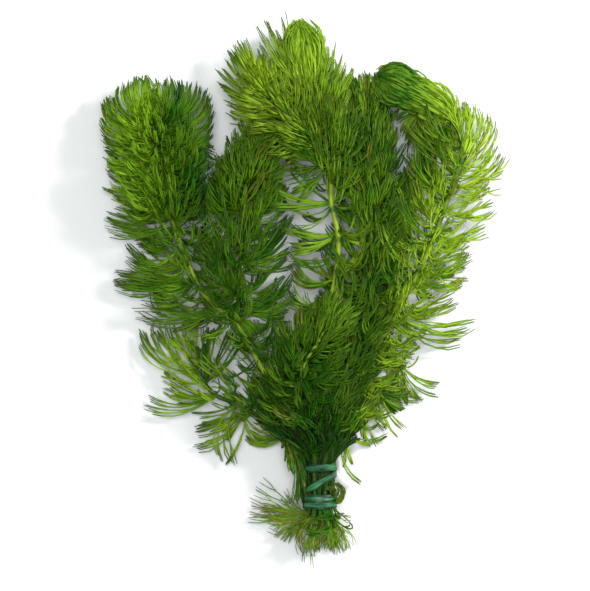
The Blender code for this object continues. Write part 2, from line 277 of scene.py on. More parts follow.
# The nodes, where the leaves grow, are wide apart on the old stem and close together
# towards the growing tip.
OLD_INTERNODE = 14.0
YOUNG_INTERNODE = 1.6
INTERNODE_GROWTH = 0.19
FIRST_NODE = 0.4
LAST_NODE = 1.5


def node_places(name):
    """Distances along the stem of its nodes, from the growing tip down to the cut end."""
    length = LINES[name].length
    places = []
    place = length - FIRST_NODE
    while place > LAST_NODE:
        places.append(place)
        place -= min(OLD_INTERNODE, YOUNG_INTERNODE + INTERNODE_GROWTH * (length - place))
    return places


NODES = {name: node_places(name) for name in ROUTES}


def to_nearest_node(name, distance):
    """How far a place on the stem is from the nearest node."""
    return min(abs(distance - place) for place in NODES[name])


def stem_radius(name, distance):
    """The stem is thinner towards its growing tip and swells a little at each node."""
    from_tip = LINES[name].length - distance
    radius = TIP_RADIUS + (STEM_RADIUS - TIP_RADIUS) * min(1.0, from_tip / TAPER_LENGTH) ** TAPER_POWER
    nearest = to_nearest_node(name, distance)
    return radius * (1 + NODE_SWELLING * math.exp(-(nearest / NODE_HALF_LENGTH) ** 2))


def mesh_from_arrays(name, points, quads, triangles, values):
    """A mesh object in metres from points in millimetres, with a named value for each point."""
    mesh = bpy.data.meshes.new(name)
    mesh.vertices.add(len(points))
    mesh.vertices.foreach_set("co", (np.asarray(points, float) * MM).ravel())
    quads = np.asarray(quads, np.int32).reshape(-1, 4)
    triangles = np.asarray(triangles, np.int32).reshape(-1, 3)
    corners = np.concatenate([quads.ravel(), triangles.ravel()])
    mesh.loops.add(len(corners))
    mesh.loops.foreach_set("vertex_index", corners)
    sizes = np.concatenate([np.full(len(quads), 4), np.full(len(triangles), 3)])
    starts = np.concatenate([[0], np.cumsum(sizes)[:-1]])
    mesh.polygons.add(len(sizes))
    mesh.polygons.foreach_set("loop_start", starts)
    mesh.polygons.foreach_set("loop_total", sizes)
    mesh.polygons.foreach_set("use_smooth", np.ones(len(sizes), bool))
    for value_name, numbers in values.items():
        attribute = mesh.attributes.new(value_name, "FLOAT", "POINT")
        attribute.data.foreach_set("value", np.asarray(numbers, np.float32))
    mesh.update(calc_edges=True)
    mesh.validate()
    thing = bpy.data.objects.new(name, mesh)
    bpy.context.collection.objects.link(thing)
    return thing


def stem_mesh(name):
    """A closed tube along a shoot's route, flat at the cut end and rounded at the tip."""
    line = LINES[name]
    distances = list(np.arange(0.0, line.length, STEM_STEP)) + [line.length]
    points = []
    along = []
    for distance in distances:
        centre, direction = line.at(distance)
        across, upward = crosswise(direction)
        radius = stem_radius(name, distance)
        for side in range(STEM_SIDES):
            angle = 2 * math.pi * side / STEM_SIDES
            points.append(centre + radius * (math.cos(angle) * across + math.sin(angle) * upward))
            along.append(distance / line.length)
    quads = []
    for ring in range(len(distances) - 1):
        for side in range(STEM_SIDES):
            after = (side + 1) % STEM_SIDES
            first = ring * STEM_SIDES
            quads.append((first + side, first + after, first + STEM_SIDES + after, first + STEM_SIDES + side))
    triangles = []
    last_ring = len(distances) - 1
    for ring, distance, push, turn in ((0, 0.0, -CUT_HOLLOW, -1), (last_ring, line.length, TIP_BULGE, 1)):
        middle = len(points)
        centre, direction = line.at(distance)
        points.append(centre + direction * push)
        along.append(distance / line.length)
        for side in range(STEM_SIDES):
            pair = (ring * STEM_SIDES + side, ring * STEM_SIDES + (side + 1) % STEM_SIDES)
            triangles.append((middle, *pair[::turn]))
    return points, quads, triangles, along


def plant_flesh():
    """Node group: patchy colour between two given ones, and a fine roughness and height."""
    tree = bpy.data.node_groups.new("plant flesh", "ShaderNodeTree")
    for way, sockets in (
        ("INPUT", (("Pale", "Color"), ("Deep", "Color"), ("Mix", "Float"), ("Patch Scale", "Float"),
                   ("Patch Amount", "Float"))),
        ("OUTPUT", (("Color", "Color"), ("Roughness", "Float"), ("Height", "Float"))),
    ):
        for socket, kind in sockets:
            tree.interface.new_socket(socket, in_out=way, socket_type=f"NodeSocket{kind}")
    given = tree.nodes.new("NodeGroupInput")
    put_out = tree.nodes.new("NodeGroupOutput")
    place = add_node(tree, "TexCoord")
    patches = add_node(tree, "TexNoise", {"Detail": 4.0})
    centred = add_node(tree, "Math", {1: 0.5}, operation="SUBTRACT")
    scaled = add_node(tree, "Math", operation="MULTIPLY")
    total = add_node(tree, "Math", operation="ADD", use_clamp=True)
    blend = add_node(tree, "Mix", data_type="RGBA")
    fine = add_node(tree, "TexNoise", {"Scale": 2600.0, "Detail": 2.0})
    rough = add_node(tree, "MapRange", {"To Min": 0.28, "To Max": 0.52})
    join(tree, (
        (place, "Object", patches, "Vector"),
        (place, "Object", fine, "Vector"),
        (given, "Patch Scale", patches, "Scale"),
        (patches, "Fac", centred, 0),
        (centred, "Value", scaled, 0),
        (given, "Patch Amount", scaled, 1),
        (given, "Mix", total, 0),
        (scaled, "Value", total, 1),
        (total, "Value", blend, "Factor"),
        (given, "Pale", blend, "A"),
        (given, "Deep", blend, "B"),
        (fine, "Fac", rough, "Value"),
        (blend, "Result", put_out, "Color"),
        (rough, "Result", put_out, "Roughness"),
        (fine, "Fac", put_out, "Height"),
    ))
    return tree


FLESH = plant_flesh()


def add_flesh(tree, pale, deep, patch_scale, patch_amount):
    """The plant flesh group, placed in a material with that material's own values."""
    return add_node(tree, "Group", {
        "Pale": (*pale, 1), "Deep": (*deep, 1), "Patch Scale": patch_scale, "Patch Amount": patch_amount,
    }, node_tree=FLESH)


def read_value(tree, name):
    """A node that reads one of the piece's own named values."""
    return add_node(tree, "Attribute", attribute_type="GEOMETRY", attribute_name=name)


def stem_material(name, pale, deep):
    """Smooth wet stem skin: pale between the nodes, deeper at them and where a painted shade is given, with
    deeper patches and a soft gloss.
    """
    material, tree, shader = new_material(name)
    skin_and_shade_depth = read_value(tree, "skin_and_shade_depth")
    flesh = add_flesh(tree, pale, deep, 90.0, 1.3)
    bump = add_node(tree, "Bump", {"Strength": 0.25, "Distance": 0.00008})
    join(tree, (
        (skin_and_shade_depth, "Fac", flesh, "Mix"),
        (flesh, "Color", shader, "Base Color"),
        (flesh, "Roughness", shader, "Roughness"),
        (flesh, "Height", bump, "Height"),
        (bump, "Normal", shader, "Normal"),
    ))
    set_values(shader, {
        "Specular IOR Level": 0.15, "Subsurface Weight": 0.25, "Subsurface Radius": (0.6, 1.0, 0.2),
        "Subsurface Scale": 0.0008,
    })
    return material


STEM_SKIN = stem_material("pale stem skin", pale=(0.215, 0.310, 0.012), deep=(0.022, 0.068, 0.003))
# Where a stem is under leaves (from one y to another), a painted shade makes its skin a deeper green. A
# deeper painted shade lies on it in the band and at the neck above it.  The nodes are deeper than the rest.
SHADED_STRETCHES = {
    "right_stem": (25, 130),
    "back_stem": (-130, 130),
    "lower_left_shoot": (-130, 130),
    "lower_right_shoot": (-130, 130),
}
SHADED_DEPTH = 0.6
NECK_LENGTH = 12
NECK_PAINTED_SHADE = 1.5
SKIN_DEPTH = 0.25
NODE_DEPTH = 0.75
NODE_RING = 1.2


def skin_depths_and_shade(name, along):
    """How deep the green of a stem's skin is at each of its points: deeper at the nodes, with a painted shade
    under the leaves, in the band and at the neck above it.
    """
    line = LINES[name]
    low, high = SHADED_STRETCHES.get(name, (0, 0))
    depths = []
    for share in along:
        distance = share * line.length
        y = line.at(distance)[0][1]
        depth = SKIN_DEPTH + NODE_DEPTH * math.exp(-(to_nearest_node(name, distance) / NODE_RING) ** 2)
        if y < BAND_TOP_Y + NECK_LENGTH:
            depth += NECK_PAINTED_SHADE
        elif low < y < high:
            depth += SHADED_DEPTH
        depths.append(depth)
    return depths


for name in ROUTES:
    points, quads, triangles, along = stem_mesh(name)
    stem = mesh_from_arrays(f"{name}_skin", points, quads, triangles, {"skin_and_shade_depth": skin_depths_and_shade(name, along)})
    stem.data.materials.append(STEM_SKIN)
    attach(stem, "root")
    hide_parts(name)


# The leaves
# Hornwort has no broad leaves: each is a stiff green thread that forks twice into four
# pointed tips, and ten to twenty stand round the stem at a node.  They arch towards the
# growing tip, cling together in strands where they are wet, and lie on the surface.
STATIONS = np.array([0.0, 0.20, 0.37, 0.53, 0.68, 0.83, 0.98, 1.0])
BLADE_WIDTHS = np.array([0.90, 0.95, 1.10, 0.92, 0.95, 0.75, 0.50, 0.0])
BLADE_SIDES = 3
BLADE_FLATNESS = 0.6
FIRST_FORK = 2
SECOND_FORK = 4
FIRST_SPREAD = math.radians(13)
SECOND_SPREAD = math.radians(10)
# The four tips: which side of each fork a path takes, and the station where its own tube starts
FIRST_SIGN = np.array([1.0, 1.0, -1.0, -1.0])
SECOND_SIGN = np.array([1.0, -1.0, -1.0, 1.0])
TUBE_STARTS = (0, SECOND_FORK, FIRST_FORK, SECOND_FORK)
SPANS = np.diff(STATIONS)
MIDDLES = (STATIONS[1:] + STATIONS[:-1]) / 2
# The ranges that chance picks from for each leaf's forks and branches
FORK_TURN = 0.5
FIRST_RANGE = (0.7, 1.2)
SECOND_RANGE = (0.6, 1.3)
BRANCH_RANGE = (0.85, 1.1)
TIP_RANGE = (0.84, 1.08)
# The surface below and the weight of the neighbours above are soft limits for a leaf's middle
# line, and no point of its blade lies lower than the last value.
FLOOR_GAP = 0.35
FLOOR_SOFTNESS = 1.3
CEILING = 37.6
CEILING_SOFTNESS = 0.8
LOWEST_POINT = 0.02
# The band holds the leaves against the stems: they open the further they stand above it.
ANGLE_AT_BAND = 9.0
ANGLE_RISE = 2.4
BUNCH_RADIUS = 6.7
SQUEEZE_POWER = 4
OPENING_ABOVE = (0.15, 1.2)
OPENING_BELOW = (0.5, 3.0)
OPENING_GROWTH = 20.0
OPENING_POWER = 2.5
# Up to SHADED_HEIGHT above the band, a painted shade deepens the leaves' tone. It is deepest at the band.
SHADED_HEIGHT = 18.0
BUNCH_PAINTED_SHADE = 0.5
# Between the shoots the surface shows through: (x, y, radius) of each gap.  Few leaves cross one.
GAPS = [
    (-3.2, 57.6, 1.5), (4.0, 57.0, 1.5), (7.6, 46.8, 2.2), (1.0, 32.4, 2.2), (5.0, 31.5, 2.0),
    (11.0, 34.6, 1.2), (20.5, 24.5, 1.6), (20.5, 19.5, 1.8), (6.5, 8.5, 1.5), (11.5, 17.0, 1.2),
    (24.5, 9.0, 1.6), (-17.5, 2.0, 1.4), (-24.5, -4.0, 1.4), (-27.0, 55.0, 1.4), (39.5, 62.5, 2.0),
    (-38.0, -26.0, 1.2), (-31.5, -33.0, 1.4), (-27.0, -39.0, 1.8), (-22.0, -29.5, 1.2), (36.0, -37.0, 1.4),
]
CROSSING_SHARE = 0.25

# What a habit says of its whorls unless it is told otherwise.  turned_up, and what every habit gives
# (strands, angle, length, bend and tone), run from the young end to the old.  settled, length_range and
# closing are ranges that chance picks from.  light is painted light: it is how much paler leaves are that
# stand to the right, and to the top, and how much deeper the leaves on the other side are.  Where a habit has
# toward, its strands all grow to about that side of the stem, in degrees.
USUAL_HABIT = {
    "cover": 0, "turned_up": (0, 0), "settled": (0.15, 0.8), "stray": 0.2, "sway": 13, "light": (0.0, 0.0),
    "mottle": 0.2, "angle_range": 11, "bend_range": 20, "length_range": (0.82, 1.06), "together": (1, 1, 2),
    "loose": 4.5, "withered": 0.02, "width": 0.85, "spread": 0.8, "follows": 0.0, "dark_tip": 1.0,
    "closing": (0.9, 1.8), "hook": 1.0,
}
# How far the strands of a whorl stray: round the stem, off its centre and along it
TURN_STRAY = 0.2
ROOT_OFFSET = 0.7
ROOT_STRAY = 0.5
COVER_SIDEWAYS = 0.6
COVER_RAISED = (0.15, 0.45)
RAISED_SHORTER = 0.2
# How far the leaves of one strand differ from each other, in a whorl and where it is laid alone
TONE_STRAY = 0.1
WHORL_SCATTER = {"side": 0.05, "length": (0.88, 1.02), "width": (0.85, 1.12), "spread": (0.3, 1.5)}
STRAND_SCATTER = {"side": 0.4, "length": (0.94, 1.02), "bend": 5, "width": (0.9, 1.1), "spread": (0.3, 1.4),
                  "closing": (0.8, 1.2)}
HEALTHY = (0.0, 0.15)
WITHERED = (0.4, 1.0)
# How far the strands that are laid one by one stray
HEIGHT_STRAY = 2.0
STRAND_TONE_STRAY = 0.2
MOST_BENT = 160
SLACK = 1.01


def leaf_template():
    """Which path and station each point of a leaf sits at, and the faces between them."""
    owners = []
    quads = []
    triangles = []
    last = len(STATIONS) - 1
    for path, start in enumerate(TUBE_STARTS):
        first = len(owners)
        for station in range(start, last):
            owners.extend((path, station, corner) for corner in range(BLADE_SIDES))
        tip = len(owners)
        owners.append((path, last, 0))
        for low in range(first, tip - BLADE_SIDES, BLADE_SIDES):
            for corner in range(BLADE_SIDES):
                after = (corner + 1) % BLADE_SIDES
                above = low + BLADE_SIDES
                quads.append((low + corner, low + after, above + after, above + corner))
        last_ring = tip - BLADE_SIDES
        for corner in range(BLADE_SIDES):
            triangles.append((last_ring + corner, last_ring + (corner + 1) % BLADE_SIDES, tip))
        triangles.append((first + 2, first + 1, first))
    return np.array(owners), np.array(quads), np.array(triangles)


OWNERS, LEAF_QUADS, LEAF_TRIANGLES = leaf_template()


def unit(vectors):
    """The same directions, each of length one."""
    return vectors / np.maximum(np.linalg.norm(vectors, axis=-1, keepdims=True), 1e-9)


def leans(bend, hook):
    """How far each stretch of a leaf leans from its mean way: evenly bent, or hooked at the end."""
    return bend * (1 / (1 + hook) - MIDDLES ** hook)


def hold_in(paths, held, chance):
    """The band squeezes the leaves into the bunch, and the surface and their neighbours hold them."""
    above = np.maximum(0, paths[..., 1] - BAND_TOP_Y)
    below = np.maximum(0, BAND_BOTTOM_Y - paths[..., 1])
    opening = [
        low + (high - low) * chance.uniform(0, 1, (len(paths), 1, 1)) ** OPENING_POWER
        for low, high in (OPENING_ABOVE, OPENING_BELOW)
    ]
    room = BUNCH_RADIUS + opening[0] * above * (1 + above / OPENING_GROWTH) + opening[1] * below
    offset = paths[..., [0, 2]] - (BUNDLE_X, BUNDLE_Z)
    distance = np.linalg.norm(offset, axis=-1)
    squeeze = (1 + (distance / room) ** SQUEEZE_POWER) ** (-1 / SQUEEZE_POWER)
    squeeze = 1 - held[:, None, None] * (1 - squeeze)
    paths[..., [0, 2]] = (BUNDLE_X, BUNDLE_Z) + offset * squeeze[..., None]
    paths[..., 2] = FLOOR_GAP + FLOOR_SOFTNESS * np.logaddexp(0, (paths[..., 2] - FLOOR_GAP) / FLOOR_SOFTNESS)
    paths[..., 2] = CEILING - CEILING_SOFTNESS * np.logaddexp(0, (CEILING - paths[..., 2]) / CEILING_SOFTNESS)


def clear_of_gaps(paths, chance):
    """Which leaves stay: those that cross no gap, and a few of those that do."""
    kept = np.ones(len(paths), bool)
    halfway = (paths[:, :, 1:] + paths[:, :, :-1]) / 2
    for x, y, radius in GAPS:
        for places in (paths, halfway):
            kept &= (np.hypot(places[..., 0] - x, places[..., 1] - y) > radius).all(axis=(1, 2))
    return kept | (chance.random(len(paths)) < CROSSING_SHARE)


class Leaves:
    """The leaves of one shoot, gathered one by one and then made into one piece."""

    def __init__(self, shoot, seed):
        self.shoot = shoot
        self.line = LINES[shoot]
        self.chance = random.Random(seed)
        self.shape_chance = np.random.default_rng(seed)
        self.rows = []
        self.tied = self.line.points[0, 1] < BAND_BOTTOM_Y

    def add(self, place, root, ahead, outward, length, angle, bend, width, spread, tone, withered, follows,
            held, dark_tip, closing, hook):
        """One leaf: where it grows, its mean angle to the stem, how far it arches, how far its forks
        part and close again, its colour, whether it follows the stem where that bends, and whether
        the band holds it in."""
        self.rows.append((*root, *ahead, *outward, place, length, angle, bend, width, spread, tone, withered,
                          follows, held, dark_tip, closing, hook))

    def whorl(self, place, habit, share):
        """The leaves round one node.  share runs from 0 at the young end of a habit to 1."""
        chance = self.chance
        habit = {**USUAL_HABIT, **habit}
        centre, ahead = self.line.at(place)

        def between(key):
            young, old = habit[key]
            return young + (old - young) * share

        turned_up = math.radians(between("turned_up"))
        ahead = unit(ahead * math.cos(turned_up) + np.array((0.0, 0.0, math.sin(turned_up))))
        across, upward = crosswise(ahead)

        strands = round(between("strands"))
        start = chance.uniform(0, 2 * math.pi)
        widest_angle = 180.0
        bunch_shade = 0.0
        above_band = centre[1] - BAND_TOP_Y
        # Near the band the leaves stand closer together, and a painted shade deepens their tone.
        if self.tied and centre[1] > BAND_BOTTOM_Y:
            widest_angle = ANGLE_AT_BAND + ANGLE_RISE * max(0.0, above_band)
            bunch_shade = BUNCH_PAINTED_SHADE * min(1.0, max(0.0, 1 - above_band / SHADED_HEIGHT))
        for index in range(strands + habit["cover"]):
            turn = start + 2 * math.pi * index / strands + chance.gauss(0, TURN_STRAY)
            if "toward" in habit:
                turn = math.radians(chance.gauss(*habit["toward"]))
            aside = math.cos(turn) + chance.gauss(0, habit["stray"])
            raised = math.sin(turn)
            if raised > 0:
                raised *= chance.uniform(*habit["settled"])
            if index >= strands:
                aside = chance.uniform(-COVER_SIDEWAYS, COVER_SIDEWAYS)
                raised = chance.uniform(*COVER_RAISED)
            outward = aside * across + raised * upward
            outward /= max(1.0, np.linalg.norm(outward))
            sway = math.radians(chance.gauss(0, habit["sway"]))
            swayed = ahead * math.cos(sway) + unit(np.cross(outward, ahead)) * math.sin(sway)
            # Painted light: leaves that point along the habit's light are paler, and those that point away
            # from it are deeper.
            light = habit["light"]
            tone = between("tone") - light[0] * outward[0] - light[1] * outward[1]
            tone += chance.uniform(-habit["mottle"], habit["mottle"]) + bunch_shade
            angle = min(between("angle"), widest_angle) + chance.gauss(0, habit["angle_range"])
            bend = between("bend") + chance.gauss(0, habit["bend_range"])
            length = between("length") * chance.uniform(*habit["length_range"])
            length *= 1 - RAISED_SHORTER * max(raised, 0.0)
            scatter = WHORL_SCATTER
            for _ in range(chance.choice(habit["together"])):
                withered = chance.random() < habit["withered"]
                self.add(
                    place, centre + outward * ROOT_OFFSET + ahead * chance.uniform(-ROOT_STRAY, ROOT_STRAY),
                    swayed,
                    unit(outward + across * chance.gauss(0, scatter["side"])) * np.linalg.norm(outward),
                    length * chance.uniform(*scatter["length"]),
                    math.radians(angle + chance.gauss(0, habit["loose"])),
                    math.radians(bend + chance.gauss(0, habit["loose"])),
                    habit["width"] * chance.uniform(*scatter["width"]),
                    habit["spread"] * chance.uniform(*scatter["spread"]),
                    tone + chance.uniform(-TONE_STRAY, TONE_STRAY),
                    chance.uniform(*(WITHERED if withered else HEALTHY)), habit["follows"],
                    1.0 if self.tied else 0.0, habit["dark_tip"], chance.uniform(*habit["closing"]),
                    habit["hook"],
                )

    def grow(self, habit, young_end, old_end, internode):
        """Whorls from one distance below the growing tip to another, one internode apart."""
        length = self.line.length
        for below in np.arange(young_end, min(old_end, length - 2), internode):
            place = length - below
            self.whorl(place, habit, (length - place - young_end) / (old_end - young_end))

    def fan(self, beside, tips, height=4.0, tone=0.5, width=0.95, spread=0.9, withered=0.03, lift=0.0,
            arch=1.5, closing=1.75, hook=1.0, loose=3.4, unruly=5):
        """Strands laid one by one, from the stem's nearest point to their tips on the surface.

        Each tip is (x, y, how many degrees the strand turns to the left, how many leaves)."""
        chance = self.chance
        points = self.line.points
        root = points[np.argmin(np.hypot(points[:, 0] - beside[0], points[:, 1] - beside[1]))] + (0, 0, lift)
        for x, y, bend, number in tips:
            chord = np.array((x, y, height + chance.uniform(-HEIGHT_STRAY, HEIGHT_STRAY))) - root
            bend = math.radians(min(arch * (bend + chance.gauss(0, unruly)), MOST_BENT))
            lean = leans(bend, hook)
            forward, aside = (np.cos(lean) * SPANS).sum(), (np.sin(lean) * SPANS).sum()
            ahead = unit(chord)
            outward = unit(np.cross(ahead, UP))
            strand_tone = tone + chance.uniform(-STRAND_TONE_STRAY, STRAND_TONE_STRAY)
            scatter = STRAND_SCATTER
            for _ in range(number):
                dead = chance.random() < withered
                self.add(
                    0.0, root + outward * chance.gauss(0, scatter["side"]), ahead, outward,
                    SLACK * np.linalg.norm(chord) / math.hypot(forward, aside)
                    * chance.uniform(*scatter["length"]),
                    math.radians(chance.gauss(0, loose)) - math.atan2(aside, forward),
                    bend + math.radians(chance.gauss(0, scatter["bend"])),
                    width * chance.uniform(*scatter["width"]), spread * chance.uniform(*scatter["spread"]),
                    strand_tone + chance.uniform(-TONE_STRAY, TONE_STRAY),
                    chance.uniform(*(WITHERED if dead else HEALTHY)), 0.0, 0.0, 1.0,
                    closing * chance.uniform(*scatter["closing"]), hook,
                )

    def build(self, material):
        """Turns the gathered leaves into one mesh piece that stands for the shoot's node."""
        chance = self.shape_chance
        rows = np.array(self.rows)
        count = len(rows)
        root, ahead, outward = rows[:, 0:3], rows[:, 3:6], rows[:, 6:9]
        (place, length, angle, bend, width, spread, tone, withered, follows, held, dark_tip, closing,
         hook) = rows[:, 9:].T
        # The way that each stretch of a leaf runs, before and after its forks
        lean = angle[:, None] + leans(bend[:, None], hook[:, None])
        main = np.cos(lean)[..., None] * ahead[:, None] + np.sin(lean)[..., None] * outward[:, None]
        main = unit(main)
        level = unit(np.cross(UP, main.mean(axis=1)))
        fork = unit(level + FORK_TURN * chance.normal(size=(count, 3)))
        fork = unit(fork[:, None] - main * (fork[:, None] * main).sum(axis=-1, keepdims=True))
        past_first = np.clip((MIDDLES - STATIONS[FIRST_FORK]) / (1 - STATIONS[FIRST_FORK]), 0, 1)
        past_second = np.clip((MIDDLES - STATIONS[SECOND_FORK]) / (1 - STATIONS[SECOND_FORK]), 0, 1)
        on_first = (MIDDLES > STATIONS[FIRST_FORK]) * (1 - closing[:, None, None] * past_first)
        on_second = (MIDDLES > STATIONS[SECOND_FORK]) * (1 - closing[:, None, None] * past_second)
        first = (FIRST_SPREAD * spread)[:, None, None] * chance.uniform(*FIRST_RANGE, (count, 1, 1))
        second = (SECOND_SPREAD * spread)[:, None] * chance.uniform(*SECOND_RANGE, (count, 2))
        second = second[:, [0, 0, 1, 1]][..., None]
        side = FIRST_SIGN[None, :, None] * first * on_first + SECOND_SIGN[None, :, None] * second * on_second
        direction = np.cos(side)[..., None] * main[:, None] + np.sin(side)[..., None] * fork[:, None]

        # The four paths from the root to the tips
        reach = np.ones((count, 4, len(SPANS)))
        reach[:, 2:, FIRST_FORK:SECOND_FORK] *= chance.uniform(*BRANCH_RANGE, (count, 1, 1))
        reach[:, :, SECOND_FORK:] *= chance.uniform(*TIP_RANGE, (count, 4, 1))
        steps = direction * (length[:, None] * SPANS)[:, None, :, None] * reach[..., None]
        paths = np.concatenate([np.zeros((count, 4, 1, 3)), np.cumsum(steps, axis=2)], axis=2)
        across = unit(np.cross(ahead, UP))
        upward = np.cross(across, ahead)
        local = [(paths * axis[:, None, None]).sum(axis=-1) for axis in (ahead, across, upward)]
        centre, level_there, upward_there = self.line.frames(place[:, None, None] + local[0])
        followed = centre + local[1][..., None] * level_there + local[2][..., None] * upward_there
        paths += root[:, None, None]
        share = follows[:, None, None, None]
        paths = (1 - share) * paths + share * followed
        hold_in(paths, held, chance)
        kept = clear_of_gaps(paths, chance)
        paths, fork, width, tone, withered, dark_tip = (
            values[kept] for values in (paths, fork, width, tone, withered, dark_tip))

        # The flat blade along each path
        steps = np.diff(paths, axis=2)
        run = unit(np.concatenate([
            steps[:, :, :1], (steps[:, :, 1:] + steps[:, :, :-1]) / 2, steps[:, :, -1:]
        ], axis=2))
        blade = fork[:, None, np.minimum(np.arange(len(STATIONS)), len(SPANS) - 1)]
        blade = unit(blade - run * (blade * run).sum(axis=-1, keepdims=True))
        thickness = np.cross(run, blade)
        half = width[:, None] / 2 * BLADE_WIDTHS
        path, station, corner = OWNERS.T
        turn = 2 * math.pi * corner / BLADE_SIDES + math.pi / 2
        points = paths[:, path, station] + half[:, station, None] * (
            blade[:, path, station] * np.cos(turn)[:, None]
            + BLADE_FLATNESS * thickness[:, path, station] * np.sin(turn)[:, None]
        )
        points[..., 2] = np.maximum(points[..., 2], LOWEST_POINT)
        size = len(OWNERS)
        offsets = (np.arange(len(paths)) * size)[:, None, None]
        values = {
            "tip_mark": (dark_tip[:, None] * STATIONS[station]).ravel(),
            "tone": np.repeat(tone, size),
            "withered": np.repeat(withered, size),
        }
        piece = mesh_from_arrays(
            f"{self.shoot}_leaves", points.reshape(-1, 3), (LEAF_QUADS[None] + offsets).reshape(-1, 4),
            (LEAF_TRIANGLES[None] + offsets).reshape(-1, 3), values)
        piece.data.materials.append(material)
        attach(piece, "root")
        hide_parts(self.shoot)


# The dark colour of the leaf tips, which is also the colour that the painted shade darkens towards.
DARK_TIP_AND_SHADE = (0.016, 0.030, 0.008)
WITHERED_LEAF = (0.260, 0.255, 0.030)


def leaf_material(name, pale, deep, shining):
    """Thin wet leaf threads: two greens by leaf and patch, dark tips, a painted shade where the tone runs
    past the deep green, and light through them.
    """
    material, tree, shader = new_material(name)
    tone = read_value(tree, "tone")
    tip_mark = read_value(tree, "tip_mark")
    withered = read_value(tree, "withered")
    flesh = add_flesh(tree, pale, deep, 55.0, 1.2)
    browned = add_node(tree, "Mix", {"B": (*WITHERED_LEAF, 1)}, data_type="RGBA")
    tip = add_node(tree, "MapRange", {"From Min": 0.72, "From Max": 1.0, "To Max": 0.65},
                   interpolation_type="SMOOTHSTEP")
    base = add_node(tree, "MapRange", {"From Max": 0.16, "To Min": 0.5, "To Max": 0.0},
                    interpolation_type="SMOOTHSTEP")
    # Painted shade: tones past 1, in the band and close above it, darken the leaf towards the dark tip
    # colour.
    shade_past_deep = add_node(tree, "MapRange", {"From Min": 1.0, "From Max": 1.6, "To Max": 0.85})
    dark_ends = add_node(tree, "Math", operation="ADD")
    all_dark = add_node(tree, "Math", operation="ADD", use_clamp=True)
    darkened = add_node(tree, "Mix", {"B": (*DARK_TIP_AND_SHADE, 1)}, data_type="RGBA")
    young = add_node(tree, "MapRange", {"To Min": 0.60, "To Max": 0.15})
    glow = add_node(tree, "Mix", {"B": (*shining, 1)}, data_type="RGBA")
    through = add_node(tree, "BsdfTranslucent")
    mixed = add_node(tree, "MixShader", {"Fac": 0.45})
    bump = add_node(tree, "Bump", {"Strength": 0.3, "Distance": 0.00006})
    join(tree, (
        (tone, "Fac", flesh, "Mix"),
        (flesh, "Color", browned, "A"),
        (withered, "Fac", browned, "Factor"),
        (tip_mark, "Fac", tip, "Value"),
        (tip_mark, "Fac", base, "Value"),
        (tip, "Result", dark_ends, 0),
        (base, "Result", dark_ends, 1),
        (tone, "Fac", shade_past_deep, "Value"),
        (dark_ends, "Value", all_dark, 0),
        (shade_past_deep, "Result", all_dark, 1),
        (all_dark, "Value", darkened, "Factor"),
        (browned, "Result", darkened, "A"),
        (darkened, "Result", shader, "Base Color"),
        (flesh, "Roughness", shader, "Roughness"),
        (flesh, "Height", bump, "Height"),
        (bump, "Normal", shader, "Normal"),
        (tone, "Fac", young, "Value"),
        (young, "Result", glow, "Factor"),
        (darkened, "Result", glow, "A"),
        (glow, "Result", through, "Color"),
        (shader, "BSDF", mixed, 1),
        (through, "BSDF", mixed, 2),
        (mixed, "Shader", tree.nodes["Material Output"], "Surface"),
    ))
    set_values(shader, {"Specular IOR Level": 0.13})
    return material


BRIGHT_LEAF = leaf_material(
    "bright young leaf", pale=(0.400, 0.610, 0.026), deep=(0.012, 0.145, 0.003), shining=(0.58, 0.78, 0.024))
DEEP_LEAF = leaf_material(
    "deep green leaf", pale=(0.240, 0.460, 0.012), deep=(0.008, 0.118, 0.002), shining=(0.34, 0.60, 0.012))

# In the band the leaves are pressed along the stems, and a painted shade makes them dark.
PRESSED = {"strands": (5, 5), "angle": (4, 4), "length": (20, 20), "bend": (4, 4), "tone": (1.5, 1.5),
           "spread": 0.25, "angle_range": 3, "dark_tip": 0.7, "sway": 4}
PRESSED_STEP = 4.5
PRESSED_BELOW = 3
PRESSED_ABOVE = 6


def press(leaves):
    """The leaves that the band presses along the stems."""
    line = leaves.line
    for place in np.arange(LAST_NODE, line.length, PRESSED_STEP):
        if BAND_BOTTOM_Y - PRESSED_BELOW < line.at(place)[0][1] < BAND_TOP_Y + PRESSED_ABOVE:
            leaves.whorl(place, PRESSED, 0)


# The left stem
# It ends in the biggest head of the bunch: a round tuft of long leaves that fan out on all sides. They are
# yellow-green where they are young, and a painted shade darkens the side towards its neighbour.
leaves = Leaves("left_stem", seed=11)
HEAD = {"strands": (9, 16), "angle": (14, 84), "length": (13, 24), "bend": (70, 85), "tone": (0.2, 0.35),
        "light": (-0.5, 0.0), "settled": (0.3, 1.0), "width": 0.75, "spread": 0.45, "turned_up": (40, 20),
        "together": (1,), "mottle": 0.04, "withered": 0.0, "hook": 1.8, "dark_tip": 0.85, "sway": 6}
leaves.grow(HEAD, 0, 14, 0.7)
leaves.grow({**HEAD, "strands": (18, 18), "angle": (84, 98), "length": (25, 28), "bend": (85, 90),
             "tone": (0.4, 0.7), "settled": (0.0, 0.8), "turned_up": (20, 0), "cover": 5}, 14, 38, 1.5)
